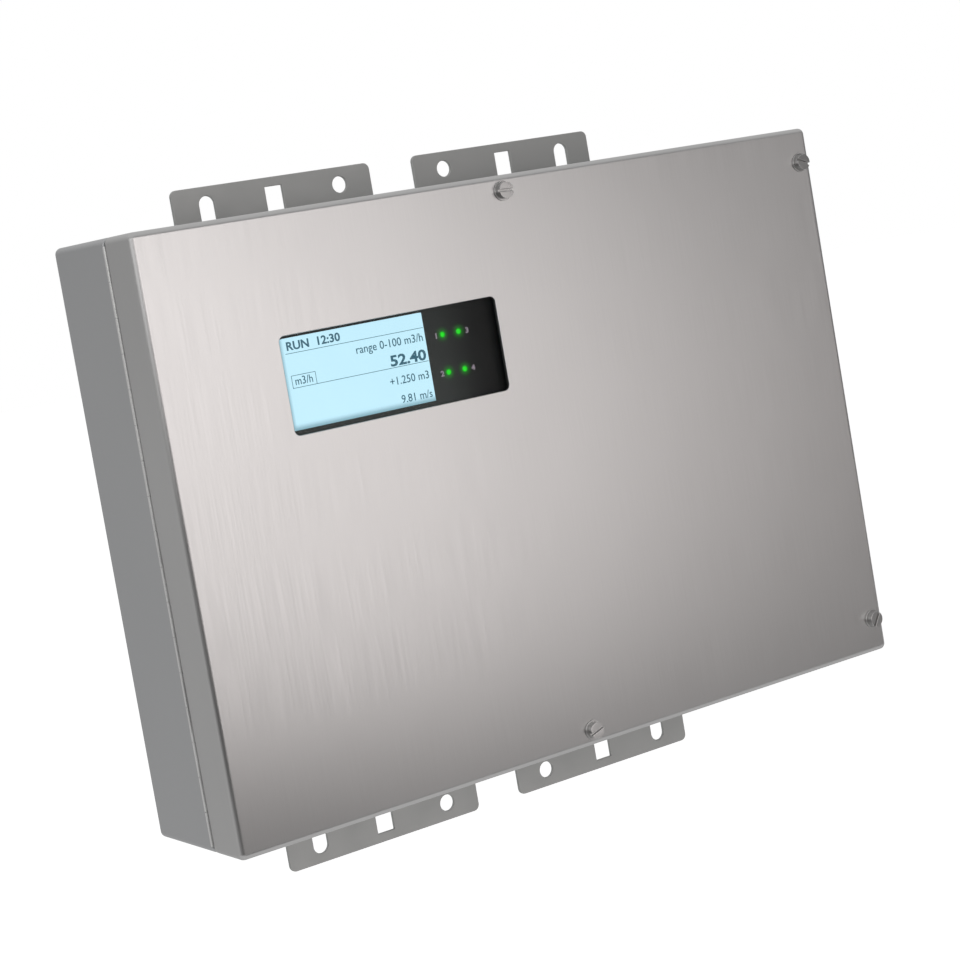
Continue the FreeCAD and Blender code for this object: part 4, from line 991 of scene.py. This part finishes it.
class GASMETER_OT_lamps(bpy.types.Operator):
    """Make the four lit status lamps and the numerals beside them"""

    bl_idname = "gas_meter.lamps"
    bl_label = "Status lamps"

    def execute(self, context):
        low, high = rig.box("status_lamps")
        length = high.y - low.y
        outer, inner = [length - drop for drop in GUIDE_DROPS]
        guide = [(0, 0), (LAMP_RADIUS, 0), (LAMP_RADIUS, outer),
                 (LAMP_RADIUS - GUIDE_RIM, inner), (0, length)]
        guides, lenses, numerals = bmesh.new(), bmesh.new(), bmesh.new()
        for number, centre in zip(LAMP_NUMERALS, lamp_centres()):
            turned(guides, centre - FRONT * length, guide)
            turned(lenses, centre, LENS_PROFILE)
            reach = NUMERAL_LEFT if centre.x < (low.x + high.x) / 2 else NUMERAL_RIGHT
            place = Vector((centre.x + reach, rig.box("display_mask")[0].y, centre.z - NUMERAL_DROP))
            write_on(numerals, number, place, NUMERAL_HEIGHT, bold=NUMERAL_BOLD, stretch=NUMERAL_STRETCH)
        made("lamp_guides", guides, "lamp_green", "housing", "lamp_green", ["status_lamps"])
        made("lamp_lenses", lenses, "lamp_core", "housing", "lamp_green")
        # the numerals take printed ink with a painted glow
        made("lamp_numerals", numerals, "label_ink", "housing")
        return {"FINISHED"}


ENTRY_EDGE = 0.5 * MM


class GASMETER_OT_entries(bpy.types.Operator):
    """Finish the closed cable entries and the earthing point below the housing"""

    bl_idname = "gas_meter.entries"
    bl_label = "Entries and earth"

    def execute(self, context):
        dress("entry_plugs", ENTRY_EDGE, segments=3)
        for node in ("entry_locknuts", "earth_stud", "earth_nuts", "earth_washers"):
            dress(node, settings().steel.hardware_edge)
        return {"FINISHED"}


KEY_EDGE = 0.25 * MM
KEY_PITCH = 23 * MM               # from the middle key to the four round it
KEY_LINE = 0.9 * MM
KEY_RING = 3.6 * MM
RING_STEPS = 32
ARROW = 5 * MM
ARROW_HALF_WIDTH = 0.6            # as a share of an arrow's height


class GASMETER_OT_inner_plates(bpy.types.Operator):
    """Finish the chassis plate, the inner front plate on its pillars and the keypad with its signs"""

    bl_idname = "gas_meter.inner_plates"
    bl_label = "Inner plates and keypad"

    def execute(self, context):
        for node in ("chassis_plate", "operating_plate", "operating_pillars"):
            dress(node, settings().steel.hardware_edge)
        dress("keypad_foil", KEY_EDGE, segments=3)
        low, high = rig.box("keypad_foil")
        middle = (low + high) / 2
        middle.y = low.y
        form = bmesh.new()
        for way in QUARTER_TURNS:
            tip = middle + way @ Vector((0, 0, KEY_PITCH + ARROW / 2))
            for side in (-ARROW_HALF_WIDTH, ARROW_HALF_WIDTH):
                foot = middle + way @ Vector((side * ARROW, 0, KEY_PITCH - ARROW / 2))
                bar(form, foot, tip, KEY_LINE)
        angles = [2 * math.pi * step / RING_STEPS for step in range(RING_STEPS + 1)]
        ring = [middle + round_point(KEY_RING, angle) for angle in angles]
        for start, end in zip(ring, ring[1:]):
            bar(form, start, end, KEY_LINE)
        made("keypad_signs", form, "key_ink", "housing")
        return {"FINISHED"}


BOARD_EDGES = {
    "main_board": 0.12 * MM,
    "display_board": 0.12 * MM,
    "fuse_holder": 0.4 * MM,
    "fuse_cap": 0.4 * MM,
    "battery_holder": 0.3 * MM,
}
CELL_EDGE = 0.35 * MM


class GASMETER_OT_boards(bpy.types.Operator):
    """Finish the circuit boards with the fuse and the backup cell that stand on them"""

    bl_idname = "gas_meter.boards"
    bl_label = "Circuit boards"

    def execute(self, context):
        for node, edge in BOARD_EDGES.items():
            dress(node, edge)
        dress("backup_battery", CELL_EDGE, segments=3)
        return {"FINISHED"}


CHIP_COUNT = 3
CHIP_EDGE = 0.15 * MM
CHIP_LIFT = 0.3 * MM              # gap between a chip's body and the board
CHIP_LEGS = 14                    # on each side
CHIP_LEG_REACH = 1.2 * MM
CHIP_LEG_PITCH = 0.8 * MM
CHIP_LEG_WIDTH = 0.4 * MM
CHIP_LEG_PARTS = (                # shoulder, shin and foot: two corners in mm, out of the body and up
    ((-0.2, 1.2), (0.5, 1.0)),
    ((0.35, 1.2), (0.5, 0)),
    ((0.35, 0.15), (1.2, 0)),
)
CHIP_DOT_INSET = 1.6 * MM
CHIP_DOT_RADIUS = 0.7 * MM
CHIP_DOT_HEIGHTS = (-0.05 * MM, 0.02 * MM)


class GASMETER_OT_chips(bpy.types.Operator):
    """Make the flat chips with bent legs on all four sides"""

    bl_idname = "gas_meter.chips"
    bl_label = "Chips"

    def execute(self, context):
        low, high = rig.box("board_chips")
        side = high.z - low.z
        half = side / 2 - CHIP_LEG_REACH
        top = FRONT * (high.y - low.y)
        corner = Vector((half, 0, half))
        dot = Vector((CHIP_DOT_INSET - half, 0, half - CHIP_DOT_INSET))
        pitch = (high.x - low.x - side) / (CHIP_COUNT - 1)
        bodies, legs, dots = bmesh.new(), bmesh.new(), bmesh.new()
        for number in range(CHIP_COUNT):
            centre = Vector((low.x + side / 2 + number * pitch, high.y, (low.z + high.z) / 2))
            block(bodies, centre - corner + top, centre + corner + FRONT * CHIP_LIFT)
            disc(dots, centre + dot + top, CHIP_DOT_RADIUS, *CHIP_DOT_HEIGHTS, steps=20)
            for way in QUARTER_TURNS:
                for leg in range(CHIP_LEGS):
                    along = (leg - (CHIP_LEGS - 1) / 2) * CHIP_LEG_PITCH
                    self.leg(legs, centre, way, half, along)
        made("chip_bodies", bodies, "black_plastic", "housing", "black_plastic", ["board_chips"], CHIP_EDGE)
        made("chip_legs", legs, "solder", "housing")
        made("chip_dots", dots, "resistor_body", "housing")
        return {"FINISHED"}

    def leg(self, form, centre, way, half, along):
        """Adds one bent leg, on the side of the chip that a quarter turn gives."""
        for near, far in CHIP_LEG_PARTS:
            inner = Vector((half + near[0] * MM, -near[1] * MM, along - CHIP_LEG_WIDTH / 2))
            outer = Vector((half + far[0] * MM, -far[1] * MM, along + CHIP_LEG_WIDTH / 2))
            block(form, centre + way @ inner, centre + way @ outer)


CAN_LOWER = ((0.3, 0), (0, 0.4), (0, 1.4), (0.5, 2), (0.5, 2.4), (0, 3))  # inset and height in mm
CAN_UPPER = ((0, 0.7), (0.6, 0.1), (1.1, 0.1), (1.1, 0.5))                # inset and depth below the top
CAN_STEPS = 40
CAN_TOP_DEPTH = 0.5 * MM          # the bare top lies this far below the sleeve's upper end
WEDGE_INSET = 1.15 * MM
WEDGE_POINT = 0.35 * MM           # from the can's middle to the point of a wedge
WEDGE_HEIGHT = 0.32 * MM
WEDGE_SCORE = math.radians(3)     # half of the score between two wedges
WEDGE_STEPS = 8


class GASMETER_OT_capacitors(bpy.types.Operator):
    """Make the tall can capacitors: a beaded sleeve and a scored bare top"""

    bl_idname = "gas_meter.capacitors"
    bl_label = "Capacitors"

    def execute(self, context):
        low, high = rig.box("board_capacitors")
        radius = (high.z - low.z) / 2
        height = high.y - low.y
        sleeve = [(0, 0)]
        sleeve += [(radius - inset * MM, rise * MM) for inset, rise in CAN_LOWER]
        sleeve += [(radius - inset * MM, height - drop * MM) for inset, drop in CAN_UPPER]
        sleeve.append((0, height - CAN_TOP_DEPTH))
        sweep = math.pi / 2 - 2 * WEDGE_SCORE
        sleeves, tops = bmesh.new(), bmesh.new()
        for x in (low.x + radius, high.x - radius):
            foot = Vector((x, high.y, (low.z + high.z) / 2))
            turned(sleeves, foot, sleeve, CAN_STEPS)
            base = foot + FRONT * (height - CAN_TOP_DEPTH)
            for quarter in range(4):
                start = quarter * math.pi / 2 + WEDGE_SCORE
                angles = [start + sweep * step / WEDGE_STEPS for step in range(WEDGE_STEPS + 1)]
                wedge = [base + round_point(radius - WEDGE_INSET, angle) for angle in angles]
                wedge.append(base + round_point(WEDGE_POINT, start + sweep / 2))
                raised(tops, wedge, WEDGE_HEIGHT)
        made("capacitor_cans", sleeves, "capacitor_sleeve", "housing", "capacitor_sleeve",
             ["board_capacitors"])
        made("capacitor_tops", tops, "can_top", "housing")
        return {"FINISHED"}


TRACK_SEED = 7
TRACK_WIDTH = 0.35 * MM
TRACK_HEIGHT = 0.04 * MM
TRACK_STARTS = (14 * MM, 50 * MM, 21 * MM, 5 * MM)   # margins left, right, below and above
TRACK_ENDS = (5 * MM, 20 * MM, 4 * MM)               # margins right, below and above
TRACK_BENDS = 3
TRACK_RUN = (6 * MM, 24 * MM)     # shortest and longest straight run
TRACK_SLANT = 3 * MM
TRACK_EYE = 0.5 * MM              # radius of the eye at a track's end


class GASMETER_OT_tracks(bpy.types.Operator):
    """Lay the copper tracks that cross the free part of the board in straight runs and slants"""

    bl_idname = "gas_meter.tracks"
    bl_label = "Tracks"

    def execute(self, context):
        low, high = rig.box("main_board")
        left, right, below, above = TRACK_STARTS
        end_right, end_below, end_above = TRACK_ENDS
        chance = random.Random(TRACK_SEED)
        form = bmesh.new()
        for _ in range(settings().inside.tracks):
            x = chance.uniform(low.x + left, high.x - right)
            z = low.z + chance.uniform(below, high.z - low.z - above)
            place = Vector((x, low.y, z))
            for _ in range(TRACK_BENDS):
                run = chance.uniform(*TRACK_RUN)
                slant = chance.choice((-1, 0, 1)) * TRACK_SLANT
                corner = place + Vector((run, 0, 0))
                end = corner + Vector((abs(slant), 0, slant))
                if end.x > high.x - end_right or not low.z + end_below < end.z < high.z - end_above:
                    break
                bar(form, place, corner, TRACK_WIDTH, TRACK_HEIGHT)
                if slant:
                    bar(form, corner, end, TRACK_WIDTH, TRACK_HEIGHT)
                place = end
            disc(form, place, TRACK_EYE, 0, TRACK_HEIGHT, steps=12)
        made("board_tracks", form, "copper_track", "housing")
        return {"FINISHED"}


SMALL_SEED = 11
SMALL_ROWS = 3
SMALL_MARGINS = (8 * MM, 12 * MM, 9 * MM, 5 * MM)    # left, right, below and above
SMALL_SIZES = ((2.0, 1.25), (3.2, 1.6))              # length and width in mm
SMALL_HEIGHTS = {"resistor_body": 0.6 * MM, "ceramic": 1.0 * MM}
SMALL_EDGE = 0.08 * MM
FREE_SHARE = 0.2                  # share of the places that stay free
TURNED_SHARE = 0.3                # share of the small parts that are turned upright
ROW_SPREAD = 0.8 * MM             # how far a small part may stand out of its row
CAP_SHARE = 0.28                  # length of a solder end, as a share of the part
CAP_GROWTH = 0.06 * MM            # how far a solder end stands out of the part at its sides
CAP_RISE = 0.05 * MM              # and over it


class GASMETER_OT_small_parts(bpy.types.Operator):
    """Set chip resistors and capacitors in rows between the terminals and the taller pieces"""

    bl_idname = "gas_meter.small_parts"
    bl_label = "Small parts"

    def execute(self, context):
        low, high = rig.box("main_board")
        margin_left, margin_right, margin_below, margin_above = SMALL_MARGINS
        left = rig.box("signal_shield")[1].x + margin_left
        row_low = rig.box("supply_terminals")[1].z + margin_below
        row_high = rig.box("board_chips")[0].z - margin_above
        chance = random.Random(SMALL_SEED)
        bodies = {kind: bmesh.new() for kind in SMALL_HEIGHTS}
        ends = bmesh.new()
        columns = max(1, settings().inside.small_parts // SMALL_ROWS)
        for row in range(SMALL_ROWS):
            z = row_low + (row_high - row_low) * row / (SMALL_ROWS - 1)
            for column in range(columns):
                x = left + (high.x - margin_right - left) * column / columns
                if chance.random() < FREE_SHARE:
                    continue
                kind = chance.choice(list(SMALL_HEIGHTS))
                length, width = chance.choice(SMALL_SIZES)
                half = Vector((length / 2 * MM, 0, width / 2 * MM))
                cap = Vector((half.x * CAP_SHARE, 0, half.z))
                if chance.random() < TURNED_SHARE:
                    half, cap = half.zyx, cap.zyx
                place = Vector((x, low.y, z + chance.uniform(-1, 1) * ROW_SPREAD))
                top = FRONT * SMALL_HEIGHTS[kind]
                block(bodies[kind], place - half + top, place + half)
                grown = cap + Vector((CAP_GROWTH, 0, CAP_GROWTH))
                for middle in (place - (half - cap), place + (half - cap)):
                    block(ends, middle - grown + top + FRONT * CAP_RISE, middle + grown)
        for kind, form in bodies.items():
            made("small_" + kind, form, kind, "housing", edge=SMALL_EDGE)
        made("small_solder_ends", ends, "solder", "housing", edge=SMALL_EDGE)
        return {"FINISHED"}


TERMINAL_POLES = {"transducer_terminals": 8, "output_terminals": 12, "supply_terminals": 4}
TERMINAL_EDGE = 0.25 * MM
TERMINAL_SLOT = 0.6 * MM
TERMINAL_SLOT_DEPTH = 0.7 * MM
TERMINAL_SEED = 3
SINK = 0.02 * MM                  # how far the halves of a slotted head reach into what is below them
NUMBER_GAP = 1.2 * MM
NUMBER_HEIGHT = 1.9 * MM
NUMBER_BOLD = 0.05 * MM


class GASMETER_OT_terminals(bpy.types.Operator):
    """Finish the terminal rows, slot their screws and number their poles"""

    bl_idname = "gas_meter.terminals"
    bl_label = "Terminals"

    def execute(self, context):
        screws, numbers = bmesh.new(), bmesh.new()
        screw_low, screw_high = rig.box("terminal_screws")
        radius = (screw_high.z - screw_low.z) / 2
        depth = screw_high.y - screw_low.y - TERMINAL_SLOT_DEPTH
        chance = random.Random(TERMINAL_SEED)
        count = 0
        for node, poles in TERMINAL_POLES.items():
            dress(node, TERMINAL_EDGE)
            low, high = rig.box(node)
            for pole in range(poles):
                count += 1
                x = low.x + (high.x - low.x) * (pole + 0.5) / poles
                foot = Vector((x, screw_high.y, (screw_low.z + screw_high.z) / 2))
                top = foot + FRONT * (depth - SINK)
                turn = chance.uniform(0, math.pi)
                disc(screws, foot, radius, 0, depth, steps=24)
                half_moons(screws, top, radius, TERMINAL_SLOT, TERMINAL_SLOT_DEPTH, turn)
                place = (x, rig.box("main_board")[0].y, high.z + NUMBER_GAP)
                write_on(numbers, str(count), place, NUMBER_HEIGHT, align="CENTER", bold=NUMBER_BOLD)
        made("terminal_numbers", numbers, "legend_ink", "housing")
        made("terminal_screw_heads", screws, "fastener_steel", "housing", "fastener_steel",
             ["terminal_screws"])
        return {"FINISHED"}


CASE_EDGE = 0.3 * MM
CASE_SCREW_INSET = 6 * MM
CASE_SCREW_PROFILE = [(radius * MM, height * MM) for radius, height in
                      ((0, -0.1), (2.4, -0.1), (2.4, 0.8), (2, 1), (0, 1))]
CASE_SLOT = 0.6 * MM
CASE_SLOT_DEPTH = 0.5 * MM


class GASMETER_OT_modules(bpy.types.Operator):
    """Finish the power supply, the measuring module and the shield, with their case screws"""

    bl_idname = "gas_meter.modules"
    bl_label = "Modules"

    def execute(self, context):
        form = bmesh.new()
        radius, height = CASE_SCREW_PROFILE[-2]
        for node in ("power_supply", "measuring_module"):
            dress(node, CASE_EDGE)
            low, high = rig.box(node)
            for x in (low.x + CASE_SCREW_INSET, high.x - CASE_SCREW_INSET):
                for z in (low.z + CASE_SCREW_INSET, high.z - CASE_SCREW_INSET):
                    foot = Vector((x, low.y, z))
                    top = foot + FRONT * (height - SINK)
                    turned(form, foot, CASE_SCREW_PROFILE, 28)
                    half_moons(form, top, radius, CASE_SLOT, CASE_SLOT_DEPTH, turn=x + z)
        dress("signal_shield", CASE_EDGE)
        made("case_screws", form, "fastener_steel", "housing", "fastener_steel")
        return {"FINISHED"}


FLOOR_REACH = 12.0
FLOOR_WHITE = 0.72                # what the floor's own light adds for the camera
FLOOR_TURN = (-1.3, 0.4)          # from the front to the back of the floor, along Y
FLOOR_NEAR = 0.56                 # where the floor is nearest to the object, on that way
WALLS_TURN = (-0.3, 0.7)          # from the front to the back of the room, along Y of the line of sight
CEILING_TURN = (0.05, 0.8)        # from the walls to the ceiling, along Z of the line of sight
SENSOR = 36.0                     # mm


class GASMETER_OT_stage(bpy.types.Operator):
    """Set the floor, the soft light, the room and the camera"""

    bl_idname = "gas_meter.stage"
    bl_label = "Stage"

    def execute(self, context):
        stage = settings().stage
        context.scene.view_settings.view_transform = "Standard"
        self.floor(stage)
        self.room(stage)
        self.soft_light("softbox", stage.softbox_place, stage.softbox_aim, stage.softbox_size,
                        stage.softbox_power, stage.softbox_roll, stage.softbox_colour)
        self.soft_light("fill_light", stage.fill_place, stage.fill_aim, stage.fill_size, stage.fill_power)
        self.camera(stage)
        return {"FINISHED"}

    def floor(self, stage):
        """A wide pale floor that the camera sees as white with the shadow on it."""
        form = bmesh.new()
        level = Matrix.Translation((0, 0, cad_box[0].z - stage.floor_drop))
        bmesh.ops.create_grid(form, x_segments=8, y_segments=8, size=FLOOR_REACH, matrix=level)
        mesh = bpy.data.meshes.new("floor")
        form.to_mesh(mesh)
        form.free()
        floor = bpy.data.objects.new("floor", mesh)
        bpy.context.scene.collection.objects.link(floor)
        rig.stage(floor)
        material = bpy.data.materials.new("pale_floor")
        mesh.materials.append(material)
        graph = Graph(material)
        graph.nodes.clear()
        matt = graph.add("BsdfDiffuse", Color=(*stage.floor_colour, 1)).outputs["BSDF"]
        white = graph.add("Emission", Strength=FLOOR_WHITE).outputs["Emission"]
        seen = graph.add("AddShader", matt, white).outputs["Shader"]
        place = graph.add("TexCoord").outputs["Object"]
        depth = graph.add("SeparateXYZ", Vector=place).outputs["Y"]
        ramp = graph.add("ValToRGB", Fac=graph.between(depth, *FLOOR_TURN, 0, 1))
        ramp.color_ramp.interpolation = "EASE"
        ramp.color_ramp.elements.new(FLOOR_NEAR)
        shades = (stage.floor_front, stage.floor_near, stage.floor_back)
        for stop, shade in zip(ramp.color_ramp.elements, shades):
            stop.color = (shade, shade, shade, 1)
        mirrored = graph.add("Emission", Color=ramp.outputs["Color"]).outputs["Emission"]
        graph.add("OutputMaterial", Surface=graph.by_ray(seen, mirrored, matt))

    def room(self, stage):
        """White behind the object, a pale room in the metal, and an even light on plain surfaces."""
        world = bpy.data.worlds.new("studio_room")
        bpy.context.scene.world = world
        graph = Graph(world)
        graph.nodes.clear()
        sight = graph.add("TexCoord").outputs["Generated"]
        way = graph.add("SeparateXYZ", Vector=sight).outputs
        walls = graph.between(way["Y"], *WALLS_TURN, stage.room_front, stage.room_back, smooth=True)
        room = graph.between(way["Z"], *CEILING_TURN, walls, stage.room_high, smooth=True)
        seen, mirrored, even = [
            graph.add("Background", Color=WHITE, Strength=strength).outputs["Background"]
            for strength in (1.0, room, stage.ambient)]
        graph.add("OutputWorld", Surface=graph.by_ray(seen, mirrored, even))

    def soft_light(self, name, place, aim, size, power, roll=0, colour=(1, 1, 1)):
        """An oval soft light that faces a point. The camera doesn't see it."""
        light = bpy.data.lights.new(name, "AREA")
        light.shape = "ELLIPSE"
        light.size, light.size_y = size
        light.energy = power
        light.color = colour
        holder = bpy.data.objects.new(name, light)
        bpy.context.scene.collection.objects.link(holder)
        holder.location = place
        facing = (Vector(place) - Vector(aim)).to_track_quat("Z", "Y") @ Quaternion((0, 0, 1), roll)
        holder.rotation_euler = facing.to_euler()
        holder.visible_camera = False

    def camera(self, stage):
        """The photograph's point of view."""
        lens = bpy.data.cameras.new("camera")
        lens.sensor_width = SENSOR
        lens.lens = stage.camera_lens
        lens.shift_y = stage.camera_shift
        camera = bpy.data.objects.new("camera", lens)
        bpy.context.scene.collection.objects.link(camera)
        camera.location = stage.camera_place
        back = Vector(stage.camera_place) - Vector(stage.camera_aim)
        roll = Quaternion((0, 0, 1), stage.camera_roll)
        camera.rotation_mode = "QUATERNION"
        camera.rotation_quaternion = back.to_track_quat("Z", "Y") @ roll
        bpy.context.scene.camera = camera


class GASMETER_PT_panel(bpy.types.Panel):
    """Buttons and settings for the gas meter"""

    bl_idname = "GASMETER_PT_panel"
    bl_label = "Gas meter"
    bl_space_type = "VIEW_3D"
    bl_region_type = "UI"
    bl_category = "Gas meter"

    def draw(self, context):
        layout = self.layout
        for operator in OPERATORS:
            layout.operator(operator.bl_idname)
        for group in ("steel", "window", "inside", "stage"):
            values = getattr(settings(), group)
            box = layout.box()
            box.label(text=group.capitalize())
            for name in values.__annotations__:
                box.prop(values, name)


OPERATORS = (
    GASMETER_OT_sheet_shells,
    GASMETER_OT_brackets,
    GASMETER_OT_cover_screws,
    GASMETER_OT_bolts_and_nuts,
    GASMETER_OT_hinge,
    GASMETER_OT_seals,
    GASMETER_OT_window,
    GASMETER_OT_readout,
    GASMETER_OT_lamps,
    GASMETER_OT_entries,
    GASMETER_OT_inner_plates,
    GASMETER_OT_boards,
    GASMETER_OT_chips,
    GASMETER_OT_capacitors,
    GASMETER_OT_tracks,
    GASMETER_OT_small_parts,
    GASMETER_OT_terminals,
    GASMETER_OT_modules,
    GASMETER_OT_stage,
)
SETTINGS = (SteelSettings, WindowSettings, InsideSettings, StageSettings, GasMeterSettings)


def register():
    """Registers the settings, the operators and the panel."""
    for group in (*SETTINGS, *OPERATORS, GASMETER_PT_panel):
        bpy.utils.register_class(group)
    bpy.types.Scene.gas_meter = PointerProperty(
        name="Gas meter", description="Settings of the gas meter", type=GasMeterSettings)


def unregister():
    """Takes the panel, the operators and the settings away again."""
    del bpy.types.Scene.gas_meter
    for group in reversed((*SETTINGS, *OPERATORS, GASMETER_PT_panel)):
        bpy.utils.unregister_class(group)


def main():
    """Makes every piece in order and notes the CAD box and the dressed box."""
    register()
    bpy.ops.gas_meter.sheet_shells()
    bpy.ops.gas_meter.brackets()
    bpy.ops.gas_meter.cover_screws()
    bpy.ops.gas_meter.bolts_and_nuts()
    bpy.ops.gas_meter.hinge()
    bpy.ops.gas_meter.seals()
    bpy.ops.gas_meter.window()
    bpy.ops.gas_meter.readout()
    bpy.ops.gas_meter.lamps()
    bpy.ops.gas_meter.entries()
    bpy.ops.gas_meter.inner_plates()
    bpy.ops.gas_meter.boards()
    bpy.ops.gas_meter.chips()
    bpy.ops.gas_meter.capacitors()
    bpy.ops.gas_meter.tracks()
    bpy.ops.gas_meter.small_parts()
    bpy.ops.gas_meter.terminals()
    bpy.ops.gas_meter.modules()
    bpy.ops.gas_meter.stage()
    sizes = {"cad": [list(corner) for corner in cad_box], "visual": [list(corner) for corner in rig.bounds()]}
    with open("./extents.json", "w") as size_file:
        json.dump(sizes, size_file)


if __name__ == "__main__":
    main()
